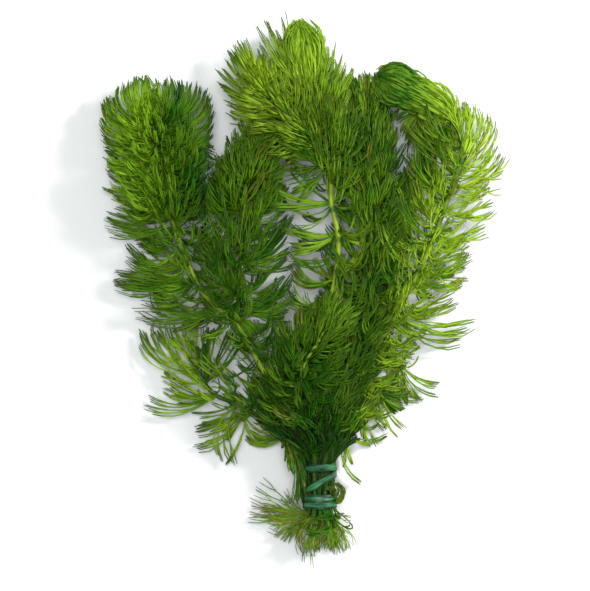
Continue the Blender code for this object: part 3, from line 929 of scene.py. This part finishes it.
# The rim of the head: pale on the left, and deeper on the right with a painted shade.
for tone, tips in (
    (0.25, [
        (-91.0, 81.9, -80, 2), (-89.8, 79.0, -85, 2), (-90.0, 74.7, -95, 3), (-89.1, 72.0, -95, 2),
        (-88.6, 69.3, -95, 3), (-88.2, 64.8, -90, 3), (-90.0, 84.6, -80, 2), (-87.5, 60.0, -80, 3),
        (-86.5, 56.0, -70, 3), (-89.6, 87.3, -85, 3), (-88.2, 88.7, -85, 2), (-86.4, 89.6, -80, 2),
        (-84.2, 91.8, -80, 3), (-81.9, 93.6, -75, 2), (-79.7, 95.4, -70, 3), (-76.5, 96.3, -65, 3),
        (-74.7, 97.5, -50, 2), (-73.4, 99.5, -45, 3), (-72.0, 98.1, 40, 2), (-68.9, 98.1, -35, 3),
        (-66.6, 97.7, 30, 2),
    ]),
    (0.75, [
        (-64.4, 96.8, -30, 2), (-62.1, 96.3, 30, 2), (-59.4, 97.0, 50, 3), (-57.2, 97.6, 60, 3),
        (-54.0, 96.6, 62, 3), (-50.7, 95.2, 68, 3), (-47.8, 95.2, 62, 2), (-45.5, 94.2, 65, 3),
        (-42.8, 92.3, 70, 3), (-41.9, 90.9, 75, 2), (-40.9, 88.0, 85, 3), (-40.5, 85.1, 90, 2),
        (-39.2, 81.9, 95, 3), (-39.2, 76.1, 100, 3), (-39.8, 72.5, 100, 3), (-40.1, 69.3, 100, 3),
    ]),
):
    leaves.fan((-66.2, 73.0), tips, height=11.0, tone=tone, width=0.9, spread=0.6, arch=1.0, hook=2.4)
leaves.grow({"strands": (10, 10), "angle": (92, 84), "length": (25, 25), "bend": (80, 90),
             "light": (-0.2, 0.0), "tone": (0.65, 0.75), "settled": (0.0, 0.6), "cover": 3}, 38, 155, 7.0)
# The look of the open strands along the outline, of the thin tangled ones at the cut ends, and
# the habit of old leaves low on every stem
AIRY = {"width": 0.88, "spread": 1.15, "closing": 1.5, "loose": 4.5}
CUT_END = {"lift": 1.0, "width": 0.62, "spread": 1.5, "withered": 0.45, "closing": 1.0, "loose": 9,
           "unruly": 22}
LOWER = {"strands": (10, 10), "angle": (84, 60), "length": (26, 22), "bend": (80, 75), "tone": (0.8, 0.9),
         "cover": 4, "angle_range": 18, "sway": 24}
leaves.grow(LOWER, 155, 215, 5.5)
# Strands along the outline, from below the head down to the fork
for beside, tips in (
    ((-67.5, 52.2), [(-87.8, 62.1, -45, 2), (-89.1, 56.7, -40, 2), (-84.6, 53.1, -30, 2)]),
    ((-63.0, 46.8), [(-90.9, 48.1, -35, 1), (-87.3, 48.1, -35, 1), (-79.2, 45.9, -20, 2)]),
    ((-59.9, 38.7), [(-86.0, 41.4, -30, 1), (-84.6, 39.1, -35, 2), (-88.7, 35.6, -45, 2),
                     (-78.3, 36.9, -20, 2)]),
    ((-57.6, 29.7), [(-88.7, 32.9, -30, 2), (-86.9, 31.1, -25, 2), (-79.2, 31.5, -30, 2)]),
    ((-52.6, 19.8), [(-76.0, 28.8, -40, 2), (-72.9, 25.2, -35, 2), (-70.2, 21.6, -30, 1),
                     (-66.6, 26.1, -40, 1)]),
    ((-50.9, 14.0), [(-81.0, 18.0, -50, 3), (-77.9, 16.7, -45, 2), (-74.7, 18.4, -45, 2),
                     (-71.5, 19.4, -40, 1), (-80.5, 14.0, -35, 1)]),
    ((-46.8, 5.9), [(-85.5, 7.7, -25, 4), (-81.9, 6.8, -20, 3), (-78.3, 5.4, -25, 2),
                    (-73.4, 11.7, -35, 2), (-67.5, 13.5, -45, 2), (-68.0, -1.0, -20, 2),
                    (-60.0, -4.0, -15, 2), (-64.0, 4.0, -25, 2)]),
    ((-38.7, -4.0), [(-66.6, 6.8, -95, 4), (-60.8, -2.7, -40, 2), (-46.8, -13.5, 20, 1),
                     (-50.4, -12.6, 25, 1)]),
    ((-33.3, -9.9), [(-73.4, -10.3, -25, 2), (-77.0, -14.0, -12, 1), (-69.3, -8.1, -30, 1),
                     (-66.6, -12.6, -15, 2)]),
):
    leaves.fan(beside, tips, tone=0.5, **AIRY)
leaves.fan((-52.6, 19.8), [(-84.0, 10.0, -40, 2), (-80.0, 7.5, -35, 1), (-74.0, 12.0, -30, 2)],
           tone=0.7, **AIRY)
leaves.fan((-57.6, 29.7), [(-75.0, 22.5, -45, 2), (-71.0, 19.5, -40, 2), (-66.0, 17.0, -30, 2)],
           tone=0.8, **AIRY)
leaves.fan((-64.4, 66.0), [(-39.6, 65.5, -10, 3), (-37.8, 61.2, -25, 3), (-40.5, 57.0, -35, 3)],
           height=11.0, tone=0.9)
leaves.fan((-33.3, -9.9), [(-17.0, -18.5, -30, 3), (-13.5, -14.5, 30, 3), (-21.0, -22.0, -35, 3)],
           height=14.0, tone=0.9)
leaves.fan((1.5, -74.0), [(-0.5, -94.0, 30, 2), (-1.8, -88.0, 20, 1), (-7.5, -60.5, -10, 2),
                          (-4.5, -65.5, -10, 2), (0.3, -90.0, 25, 3), (1.5, -96.0, 20, 3)],
           height=9.0, tone=0.9)
leaves.fan((1.8, -99.0), [(-23.9, -94.0, -25, 1), (-23.4, -97.7, -25, 2), (-24.3, -99.5, -32, 2),
                          (-18.9, -100.4, -28, 3), (-16.7, -102.6, -20, 2), (-9.9, -92.3, -50, 1),
                          (-7.7, -94.1, -45, 2), (-4.5, -93.0, -40, 1)], height=3.0, tone=0.2, **CUT_END)
press(leaves)
leaves.build(DEEP_LEAF)

# The inner left shoot
# A side shoot that grew from a fork low on the left stem: a dense dark brush that fills
# the gap to the middle.  The band doesn't reach it.
leaves = Leaves("inner_left_shoot", seed=12)
leaves.grow({"strands": (9, 12), "angle": (18, 66), "length": (16, 26), "bend": (60, 75), "tone": (0.45, 0.7),
             "cover": 2, "turned_up": (25, 0), "mottle": 0.12, "hook": 1.4, "sway": 18}, 0, 30, 1.4)
leaves.grow({"strands": (10, 10), "angle": (66, 88), "length": (27, 27), "bend": (75, 90), "tone": (0.7, 0.8),
             "settled": (0.0, 0.6), "cover": 6, "mottle": 0.14}, 30, 76, 4.5)
leaves.fan((-27.0, 15.3), [(-7.0, 34.0, 40, 2), (-5.5, 27.0, 35, 2), (-2.5, 36.5, 25, 2),
                           (-10.0, 21.0, 30, 2), (-4.0, 18.0, 45, 2), (-12.0, 31.0, 45, 3),
                           (-12.0, 16.0, 40, 3)], height=14.0, tone=0.9)
leaves.fan((-27.5, 1.0), [(-9.0, 12.0, 40, 3), (-6.0, 8.0, 45, 3), (-14.0, 10.0, 45, 3)],
           height=14.0, tone=0.9)
leaves.fan((-28.4, -8.0), [(-9.0, -7.2, 30, 3), (-6.8, -11.7, 20, 3), (-4.5, -5.0, 35, 3)],
           height=14.0, tone=0.9)
leaves.fan((-28.4, -6.0), [(-3.5, 9.0, 50, 2), (-6.5, 15.5, 45, 3), (-2.0, 1.0, 55, 2), (-10.5, 3.5, 40, 3)],
           height=14.0, tone=0.9)
leaves.build(DEEP_LEAF)

# The middle stem
# The tallest stem, straight up from the middle of the band.  It ends in a smooth bud,
# where the young leaves lie closed together lengthwise, and forks below it.
leaves = Leaves("middle_stem", seed=13)
BUD = {"strands": (18, 26), "angle": (0, 1), "length": (12, 29.0), "bend": (110, 115), "tone": (0.45, 0.4),
       "spread": 0.4, "settled": (1.0, 1.0), "stray": 0.0, "angle_range": 2, "width": 1.0, "follows": 1.0,
       "together": (1,), "mottle": 0.03, "dark_tip": 0.8, "withered": 0.0, "closing": (1.8, 2.0),
       "bend_range": 5, "sway": 1.5, "hook": 1.3}
leaves.grow(BUD, 0, 14, 0.65)
leaves.grow({**BUD, "strands": (22, 18), "angle": (3, 8), "length": (31, 29), "bend": (122, 90),
             "tone": (0.4, 0.45), "bend_range": 10, "sway": 4}, 14, 26, 1.0)
leaves.grow({"strands": (8, 12), "angle": (12, 60), "length": (27, 27), "bend": (0, 40), "tone": (0.35, 0.6),
             "spread": 0.7, "settled": (0.1, 0.9), "mottle": 0.1, "dark_tip": 0.9}, 18, 40, 1.7)
leaves.grow({"strands": (12, 12), "angle": (60, 70), "length": (26, 26), "bend": (50, 60),
             "tone": (0.6, 0.75), "settled": (0.1, 0.7), "cover": 4, "mottle": 0.12}, 40, 60, 2.5)
leaves.grow({"strands": (14, 14), "angle": (78, 92), "length": (26, 26), "bend": (80, 95),
             "tone": (0.7, 0.85), "settled": (0.0, 0.6), "together": (1, 1, 2)}, 64, 150, 11.0)
leaves.grow(LOWER, 150, 195, 5)
# Fine straight strands on both sides of the bud, then those that arch over the gaps beside the stem
for beside, tips in (
    ((4.0, 83.7), [(-18.9, 122.4, -14, 1), (-16.2, 123.3, -12, 1), (-14.0, 124.2, -12, 1),
                   (-11.7, 124.7, -8, 1), (-9.0, 126.0, -8, 1), (-20.2, 117.0, -14, 1),
                   (-12.6, 118.8, -10, 2), (-16.0, 114.0, -14, 2)]),
    ((5.9, 78.3), [(14.8, 116.1, 10, 1), (12.2, 118.4, 6, 1), (10.8, 118.8, 4, 1), (8.1, 119.2, 2, 1),
                   (17.6, 106.7, 10, 1), (19.4, 106.2, 12, 2), (21.2, 103.5, 12, 1), (22.5, 96.8, 14, 1)]),
):
    leaves.fan(beside, tips, height=16.0, tone=0.4, width=0.7, spread=0.35, closing=1.9)
for beside, tips, tone in (
    ((14.0, 59.0), [(-9.9, 67.0, -30, 2), (-7.7, 62.1, -22, 2), (-17.1, 50.4, -10, 3), (-4.5, 54.9, 8, 2),
                    (4.0, 55.4, 60, 1), (5.4, 52.2, 40, 1), (-5.4, 49.0, -20, 3), (-4.5, 44.5, -15, 3),
                    (-2.2, 41.0, -10, 3)], 0.8),
    ((14.4, 41.0), [(-15.3, 46.8, -22, 3), (-16.2, 39.1, -14, 4), (-3.6, 56.7, -10, 2), (9.9, 53.1, -32, 1),
                    (12.2, 53.6, -20, 1), (18.0, 56.7, 15, 2), (20.7, 52.2, 18, 1), (27.9, 48.6, 10, 4),
                    (3.6, 28.4, 40, 1), (6.3, 29.7, 36, 1)], 0.85),
    ((16.2, 27.0), [(-5.4, 22.0, -25, 3), (-3.6, 17.5, -20, 3), (0.0, 21.5, -30, 2), (-9.0, 31.5, -22, 2),
                    (-6.8, 27.9, -16, 2), (0.0, 26.1, -10, 2), (35.1, 22.1, 30, 3), (32.4, 29.7, 26, 2),
                    (29.7, 20.7, 30, 1)], 0.4),
    ((15.8, 6.3), [(0.0, 14.4, -30, 3), (0.0, 4.5, -22, 2), (7.2, 17.1, -35, 2), (28.4, 18.0, 24, 4),
                   (20.2, 18.0, 18, 2), (13.5, 14.4, -16, 1)], 0.75),
):
    leaves.fan(beside, tips, height=16.0, tone=tone)
leaves.fan((8.1, -101.7), [(2.7, -116.6, 15, 3), (5.4, -117.5, 10, 3), (8.1, -116.1, 0, 3),
                           (10.8, -115.2, -8, 2)], height=4.0, tone=0.3, **CUT_END)
press(leaves)
leaves.build(BRIGHT_LEAF)

# The side shoot of the middle stem
# It grew from the middle stem's fork and ends in an open rosette of young leaves,
# nearly straight, that fan out to the left.
leaves = Leaves("middle_side_shoot", seed=14)
leaves.grow({"strands": (6, 9), "angle": (12, 64), "length": (16, 26), "bend": (5, 20), "tone": (0.1, 0.35),
             "spread": 0.5, "turned_up": (50, 10), "mottle": 0.1}, 2, 24, 1.8)
leaves.grow({"strands": (12, 12), "angle": (62, 80), "length": (25, 25), "bend": (20, 45), "tone": (0.3, 0.5),
             "cover": 6, "mottle": 0.12}, 24, 38, 2.4)
# The rim of the rosette
for beside, tips in (
    ((-7.7, 82.4), [(-26.1, 114.3, -5, 4), (-28.8, 112.5, -6, 3), (-30.2, 109.8, -4, 1),
                    (-30.6, 105.8, -8, 1), (-34.6, 107.5, -14, 2), (-35.6, 102.2, -12, 2),
                    (-36.0, 96.8, -14, 2), (-35.1, 93.6, -12, 1), (-32.4, 88.7, -22, 2),
                    (-34.2, 85.5, -26, 2), (-21.6, 111.6, -2, 2), (-17.1, 108.9, 2, 2)]),
    ((-2.2, 76.5), [(-32.4, 81.9, -22, 2), (-31.5, 79.2, -20, 1), (-27.0, 83.7, -20, 2),
                    (-11.7, 107.1, 4, 2), (-22.5, 77.4, -12, 2)]),
):
    leaves.fan(beside, tips, height=12.0, tone=0.3, width=0.95, spread=0.35)
leaves.build(BRIGHT_LEAF)

# The right stem
# Its tip bends over to the left and is closed like a cocoon; below it the leaves are
# the palest of the bunch and stand open to the right.
leaves = Leaves("right_stem", seed=15)
COCOON = {**BUD, "strands": (20, 27), "length": (12, 30.2), "bend": (156, 156), "tone": (1.0, 0.75),
          "light": (0.3, -0.2), "hook": 2.2, "dark_tip": 0.93, "bend_range": 3, "angle_range": 1.5,
          "length_range": (0.86, 1.0)}
leaves.grow(COCOON, 0, 14, 0.6)
leaves.grow({**COCOON, "strands": (28, 22), "angle": (2, 12), "length": (28.5, 24),
             "bend": (146, 84), "tone": (0.9, 0.35), "sway": 2, "bend_range": 4}, 14, 34, 1.0)
leaves.grow({"strands": (7, 6), "angle": (16, 66), "length": (22, 23), "bend": (50, 85), "tone": (0.35, 0.2),
             "light": (0.35, 0.0), "follows": 0.5, "together": (1,), "width": 0.8, "spread": 1.3, "sway": 20},
            34, 66, 4.6)
leaves.grow({"strands": (4, 5), "angle": (50, 80), "length": (30, 34), "bend": (70, 90), "tone": (0.6, 0.85),
             "toward": (185, 30), "settled": (0.1, 0.8), "together": (1, 2)}, 42, 125, 3.2)
for young_end, old_end in ((48, 86), (106, 124)):
    leaves.grow({"strands": (3, 3), "angle": (60, 70), "length": (17, 19), "bend": (70, 90),
                 "tone": (0.3, 0.5), "toward": (95, 50), "settled": (0.2, 0.6), "width": 0.75,
                 "sway": 24}, young_end, old_end, 3.4)
leaves.grow({"strands": (4, 4), "angle": (72, 84), "length": (21, 23), "bend": (80, 95), "tone": (0.0, 0.2),
             "light": (0.2, 0.0), "settled": (0.0, 0.6), "cover": 5, "together": (1,), "spread": 1.5,
             "width": 0.85, "closing": (0.8, 1.7)}, 66, 125, 8.5)
leaves.grow({"strands": (12, 12), "angle": (84, 86), "length": (22, 25), "bend": (85, 90), "tone": (0.6, 0.8),
             "light": (0.4, 0.0), "settled": (0.0, 0.6), "cover": 6}, 120, 200, 7.0)
leaves.grow(LOWER, 200, 255, 6.5)
PALE_ABOVE_Y = 20
PALE_AND_OPEN = {"tone": 0.1, "width": 0.9, "spread": 1.6, "closing": 1.3, "loose": 7.0}
# Strands along the outline on the right, from the lowest to the bend below the cocoon
for beside, tips in (
    ((45.0, -9.9), [(72.5, -22.5, 50, 2), (79.7, -12.6, 42, 3), (79.2, -9.9, 28, 1), (50.9, -22.9, -10, 1),
                    (45.9, -23.4, -20, 2), (71.1, -4.5, 25, 2), (68.4, -11.7, 18, 1), (68.9, -4.0, 20, 2)]),
    ((54.5, 7.2), [(73.4, 5.9, 52, 2), (75.2, 6.3, 55, 1), (77.4, 10.3, 8, 3), (80.1, 13.5, 20, 1),
                   (76.5, 18.9, 62, 2), (74.2, 22.1, -12, 3), (71.5, 21.2, -15, 1)]),
    ((61.2, 24.3), [(85.5, 28.4, 22, 2), (83.2, 29.7, 25, 1), (76.5, 26.1, 12, 2)]),
    ((66.2, 36.9), [(88.7, 39.1, 32, 2), (88.7, 41.9, 36, 1), (88.2, 46.8, 42, 2), (84.2, 44.6, -15, 1)]),
    ((69.8, 46.8), [(93.2, 52.6, 14, 2), (91.8, 65.7, 34, 2), (90.9, 69.5, 30, 1)]),
    ((72.0, 55.8), [(88.7, 77.4, 36, 2), (87.0, 80.0, 30, 1), (83.2, 74.0, 18, 1)]),
    ((72.9, 60.3), [(81.0, 83.2, 36, 2), (78.5, 86.5, 20, 2), (76.0, 88.2, 14, 1), (72.5, 87.3, 8, 1),
                    (69.8, 87.0, 2, 1)]),
):
    if beside[1] < PALE_ABOVE_Y:
        leaves.fan(beside, tips, height=6.0, tone=0.5, **AIRY)
    else:
        leaves.fan(beside, tips, height=6.0, **PALE_AND_OPEN)
leaves.fan((54.5, 7.2), [(66.0, 13.0, 20, 3), (70.0, 9.5, 25, 3), (60.0, -2.5, 30, 3), (54.0, -3.5, 20, 3),
                         (66.0, 3.0, 25, 2)], height=8.0, tone=0.65)
leaves.fan((61.2, 24.3), [(53.0, 20.0, -150, 3), (57.0, 27.0, -60, 2), (72.0, 22.0, 20, 3),
                          (69.0, 30.0, 10, 3)], height=9.0, tone=0.6)
leaves.fan((60.0, 85.0), [(43.5, 77.5, 30, 3), (45.0, 72.5, 35, 3), (47.3, 68.0, 35, 3), (50.4, 64.0, 30, 3),
                          (53.0, 68.0, 25, 3)], height=9.0, tone=0.7, width=0.7)
# A dull tuft that has slipped out beside the tie
leaves.fan((14.0, -94.5), [(12.5, -85.5, 60, 3), (14.8, -84.0, 75, 3), (17.4, -85.0, 85, 3),
                           (18.6, -88.0, 80, 3), (18.8, -91.0, 60, 2), (15.5, -88.0, 40, 3)],
           height=15.0, tone=0.85, withered=0.4, width=0.8, loose=6)
leaves.fan((14.5, -99.5), [(18.0, -118.8, -6, 2), (20.7, -117.9, -10, 3), (19.8, -112.0, 8, 1),
                           (21.2, -111.2, 10, 1), (23.4, -102.1, 42, 1), (17.1, -114.3, 0, 2)],
           height=3.0, tone=0.3, **CUT_END)
press(leaves)
leaves.build(BRIGHT_LEAF)

# The back stem
# A dark brush under the others that fills the bunch between the middle and the right.
# The band holds it behind the middle stem.
leaves = Leaves("back_stem", seed=16)
leaves.grow({"strands": (9, 12), "angle": (14, 50), "length": (16, 23), "bend": (55, 75), "tone": (0.5, 0.8),
             "mottle": 0.1, "sway": 12}, 0, 40, 1.7)
leaves.grow({"strands": (12, 12), "angle": (58, 88), "length": (23, 27), "bend": (75, 90),
             "tone": (0.65, 0.85), "settled": (0.0, 0.6), "cover": 7, "mottle": 0.2,
             "sway": 20}, 40, 140, 4.8)
leaves.grow(LOWER, 140, 175, 5)
leaves.fan((12.2, -100.8), [(11.2, -116.6, 0, 3), (14.4, -116.6, -8, 3), (13.5, -113.0, -5, 2)],
           height=5.0, tone=0.35, **CUT_END)
press(leaves)
leaves.build(DEEP_LEAF)

# The front shoot
# A short dense brush that comes out of the top of the band and lies on the bunch, in
# front of the stems.
leaves = Leaves("front_shoot", seed=17)
leaves.grow({"strands": (9, 12), "angle": (18, 66), "length": (15, 26), "bend": (55, 75),
             "tone": (0.55, 0.85), "mottle": 0.12, "sway": 18}, 0, 30, 1.6)
leaves.grow({**LOWER, "tone": (0.8, 1.0), "settled": (0.0, 0.6)}, 30, 70, 4.4)
leaves.fan((4.5, -100.8), [(-1.8, -114.3, 20, 3), (0.0, -117.5, 20, 3), (-4.5, -109.8, 22, 2),
                           (2.7, -125.1, 28, 1), (1.8, -119.7, 20, 1)], height=4.0, tone=0.25, **CUT_END)
press(leaves)
leaves.build(DEEP_LEAF)

# The two lowest shoots
# Short open shoots that come out of the underside of the band to either side, and lie
# on the surface with their leaves spread flat.
leaves = Leaves("lower_left_shoot", seed=18)
leaves.grow({"strands": (4, 5), "angle": (20, 70), "length": (12, 20), "bend": (60, 100), "tone": (0.5, 0.7),
             "cover": 6, "light": (-0.3, 0.0)}, 0, 30, 4.5)
leaves.grow({"strands": (7, 8), "angle": (75, 45), "length": (20, 24), "bend": (100, 40), "tone": (0.8, 1.0),
             "cover": 8, "light": (-0.3, 0.0), "sway": 20}, 30, 84, 5)
# Strands along the outline of the left one
for beside, tips in (
    ((-45.5, -36.0), [(-72.0, -14.4, -50, 3), (-70.2, -16.2, -45, 2), (-67.0, -15.3, -38, 2),
                      (-63.0, -13.5, -30, 1), (-59.4, -14.4, -25, 1), (-55.8, -12.6, -20, 2),
                      (-49.5, -12.6, -8, 2), (-45.0, -14.4, 5, 1)]),
    ((-43.6, -39.6), [(-63.5, -36.5, -45, 2), (-61.6, -35.1, -35, 1), (-54.9, -33.3, -20, 1)]),
    ((-38.7, -45.9), [(-63.0, -42.3, -30, 1), (-70.7, -50.4, -48, 2), (-68.4, -51.8, -40, 1),
                      (-59.4, -40.5, -35, 2), (-60.5, -45.5, -35, 2), (-56.5, -48.0, -30, 2)]),
    ((-27.9, -50.4), [(-45.5, -58.5, -30, 2), (-50.4, -52.2, -25, 1), (-35.6, -39.6, 5, 1),
                      (-35.1, -45.9, 10, 1), (-35.6, -77.9, 50, 1), (-33.3, -78.3, 42, 1)]),
    ((-24.3, -52.6), [(-49.1, -60.3, -20, 1), (-48.6, -62.6, -18, 1), (-45.5, -63.0, -10, 1),
                      (-49.5, -68.9, -35, 2), (-34.6, -77.0, -15, 1), (-8.1, -61.2, 150, 3),
                      (-40.5, -65.7, -20, 2), (-35.1, -65.7, 10, 3)]),
):
    leaves.fan(beside, tips, height=3.0, tone=0.5, **AIRY)
# Dull old leaves hang down beside the neck of the bunch and the tie.
leaves.fan((-7.2, -64.4), [(0.8, -74.0, -15, 4), (2.4, -79.0, -18, 4), (1.0, -85.0, -18, 4),
                           (2.2, -90.5, -16, 4), (-0.8, -95.0, -14, 3), (-8.5, -69.5, -10, 4),
                           (-5.8, -76.0, -12, 4), (-3.2, -81.0, -12, 3)],
           height=13.0, tone=1.0, withered=0.3, width=0.8, unruly=12, loose=6)
leaves.fan((-7.2, -64.4), [(-24.8, -65.5, -68, 3), (-22.5, -63.0, -60, 2)], height=3.0, tone=0.75)
leaves.fan((-43.6, -39.6), [(-31.1, -15.3, 10, 5), (-24.8, -19.8, 28, 4), (-37.0, -20.0, 15, 3),
                            (-41.0, -15.0, 5, 4), (-44.0, -22.0, 0, 3)], height=14.0, tone=1.0)
leaves.fan((-24.3, -52.6), [(-16.0, -38.0, 20, 4), (-10.0, -46.0, 35, 4), (-21.5, -37.0, 15, 4),
                            (-33.5, -46.0, -5, 2), (-8.0, -52.0, 60, 3)], height=12.0, tone=1.0)
leaves.fan((2.7, -100.0), [(-11.2, -110.7, 18, 3), (-14.4, -105.3, -12, 2), (-6.8, -113.0, 20, 1),
                           (-8.1, -107.1, 0, 2), (-12.6, -98.1, -25, 2)], height=2.5, tone=0.2, **CUT_END)
press(leaves)
leaves.build(BRIGHT_LEAF)

leaves = Leaves("lower_right_shoot", seed=19)
leaves.grow({"strands": (4, 5), "angle": (20, 70), "length": (10, 18), "bend": (60, 100), "tone": (0.3, 0.5),
             "spread": 0.6, "cover": 3}, 0, 30, 6)
leaves.grow({"strands": (6, 7), "angle": (75, 45), "length": (18, 24), "bend": (100, 40), "tone": (0.6, 0.9),
             "spread": 0.8, "cover": 5, "sway": 20}, 30, 80, 5.5)
# Strands along the outline of the right one
for beside, tips in (
    ((45.9, -31.1), [(63.0, -42.3, 40, 1), (62.6, -41.9, 30, 1), (63.0, -45.9, 42, 1), (53.6, -49.5, 20, 2),
                     (49.5, -50.4, 12, 3), (45.0, -48.6, 8, 3), (40.5, -50.4, 15, 2), (36.5, -51.3, 22, 2)]),
    ((36.0, -43.6), [(55.8, -49.1, 25, 1), (47.2, -50.0, 20, 2), (48.1, -63.0, 30, 2), (40.5, -62.6, 20, 1),
                     (35.1, -57.1, 5, 1)]),
    ((29.7, -51.3), [(39.6, -62.6, 25, 1), (29.2, -67.5, 0, 1), (31.9, -69.8, 28, 1), (27.9, -65.7, 10, 1)]),
    ((20.2, -63.9), [(40.5, -63.9, 38, 2), (29.7, -86.0, 48, 1), (19.4, -78.3, 8, 1), (23.9, -77.4, 15, 1),
                     (32.4, -68.4, 20, 1)]),
):
    leaves.fan(beside, tips, height=3.0, tone=0.5, **AIRY)
leaves.fan((36.0, -43.6), [(47.0, -53.0, 20, 3), (43.5, -55.5, 15, 3), (50.0, -45.0, 25, 3)],
           height=5.0, tone=0.7)
leaves.fan((13.0, -100.5), [(16.2, -115.7, -5, 3), (18.9, -115.2, 0, 2), (12.6, -117.9, 0, 2)],
           height=3.0, tone=0.3, **CUT_END)
press(leaves)
leaves.build(BRIGHT_LEAF)

# The tie
# A stretched strip of teal green plastic, wound round the bunch: once above, down across
# the front and twice below.  It is streaked where it is stretched, and its ridges run along it.
BAND_WIDTH = 3.7
BAND_THICKNESS = 0.45
BAND_RADIUS = 7.2
BAND_SECTION = 24
BAND_GROOVES = 6
GROOVE_DEPTH = 0.3
BAND_TURN_STEPS = 48
# The height of each front pass at its right and left end, from the top down
BAND_PASSES = ((-78.0, -78.6), (-80.9, -89.0), (-91.9, -92.4), (-94.6, -95.2))
# How much the strip's width and tilt vary, and how many times in a turn
WIDE_WAVE, WIDE_PACE = 0.10, 3.1
SMALL_WAVE, SMALL_PACE = 0.06, 7.3
TILT_WAVE, TILT_PACE = 0.22, 2.3


def band_path():
    """Turns round the bunch and height for each step: front passes, and level passes behind."""
    steps = []
    half = BAND_TURN_STEPS // 2
    for number, (right, left) in enumerate(BAND_PASSES):
        for step in range(half):
            share = step / half
            steps.append((number + 0.5 * share, right + (left - right) * (3 * share ** 2 - 2 * share ** 3)))
        after = BAND_PASSES[number + 1][0] if number + 1 < len(BAND_PASSES) else left
        for step in range(half):
            share = step / half
            steps.append((number + 0.5 + 0.5 * share, left + (after - left) * share))
    return steps


def add_band():
    """The strip as one closed tube with a flat, ridged section along the winding."""
    chance = random.Random(21)
    points = []
    across_values = []
    along_values = []
    steps = band_path()
    wave = [chance.uniform(0, 2 * math.pi) for _ in range(3)]
    for turns, y in steps:
        angle = 2 * math.pi * turns
        out = np.array((math.cos(angle), 0.0, math.sin(angle)))
        wide = 1 + WIDE_WAVE * math.sin(WIDE_PACE * angle + wave[0])
        width = BAND_WIDTH * (wide + SMALL_WAVE * math.sin(SMALL_PACE * angle + wave[1]))
        side = np.array((0.0, 1.0, 0.0)) + TILT_WAVE * math.sin(TILT_PACE * angle + wave[2]) * out
        side /= np.linalg.norm(side)
        centre = np.array((BUNDLE_X, y, BUNDLE_Z)) + out * (BAND_RADIUS + BAND_THICKNESS / 2)
        for corner in range(BAND_SECTION):
            turn = 2 * math.pi * corner / BAND_SECTION
            ridge = 1 + GROOVE_DEPTH * math.cos(BAND_GROOVES * turn)
            points.append(centre + side * width / 2 * math.cos(turn)
                          + out * BAND_THICKNESS / 2 * ridge * math.sin(turn))
            across_values.append(math.cos(turn))
            along_values.append(angle)
    quads = []
    for ring in range(len(steps) - 1):
        for corner in range(BAND_SECTION):
            after = (corner + 1) % BAND_SECTION
            first = ring * BAND_SECTION
            second = first + BAND_SECTION
            quads.append((first + corner, second + corner, second + after, first + after))
    triangles = []
    for ring, turn in ((0, 1), (len(steps) - 1, -1)):
        middle = len(points)
        first = ring * BAND_SECTION
        points.append(np.mean(points[first:first + BAND_SECTION], axis=0))
        across_values.append(0.0)
        along_values.append(2 * math.pi * steps[ring][0])
        for corner in range(BAND_SECTION):
            pair = (first + corner, first + (corner + 1) % BAND_SECTION)
            triangles.append((middle, *pair[::turn]))
    return mesh_from_arrays("tie_band_strip", points, quads, triangles,
                            {"across": across_values, "along": along_values})


def band_material():
    """Teal plastic film: streaked lengthwise where it is stretched, with a painted shade that darkens its
    edges, and a soft gloss.
    """
    material, tree, shader = new_material("teal tie strip")
    across = read_value(tree, "across")
    along = read_value(tree, "along")
    place = add_node(tree, "CombineXYZ")
    streaks = add_node(tree, "TexNoise", {"Scale": 2.6, "Detail": 4.0})
    slow = add_node(tree, "Math", {1: 0.35}, operation="MULTIPLY")
    edge = add_node(tree, "Math", operation="ABSOLUTE")
    worn = add_node(tree, "MapRange", {"From Min": 0.33, "From Max": 0.68})
    # Painted shade: the strip is darker towards its edges, where the passes meet.
    edge_shade = add_node(tree, "Math", operation="MULTIPLY")
    flesh = add_flesh(tree, (0.024, 0.165, 0.050), (0.001, 0.018, 0.007), 260.0, 0.9)
    total = add_node(tree, "Math", operation="ADD")
    bump = add_node(tree, "Bump", {"Strength": 0.8, "Distance": 0.0002})
    join(tree, (
        (along, "Fac", slow, 0),
        (slow, "Value", place, "X"),
        (across, "Fac", place, "Y"),
        (place, "Vector", streaks, "Vector"),
        (streaks, "Fac", worn, "Value"),
        (across, "Fac", edge, 0),
        (edge, "Value", edge_shade, 0),
        (edge, "Value", edge_shade, 1),
        (worn, "Result", total, 0),
        (edge_shade, "Value", total, 1),
        (total, "Value", flesh, "Mix"),
        (flesh, "Color", shader, "Base Color"),
        (streaks, "Fac", bump, "Height"),
        (bump, "Normal", shader, "Normal"),
    ))
    set_values(shader, {
        "Roughness": 0.4, "Specular IOR Level": 0.22, "Subsurface Weight": 0.15,
        "Subsurface Radius": (0.2, 1.0, 0.5), "Subsurface Scale": 0.0008,
    })
    return material


tie = add_band()
tie.data.materials.append(band_material())
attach(tie, "root")
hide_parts("tie_band")
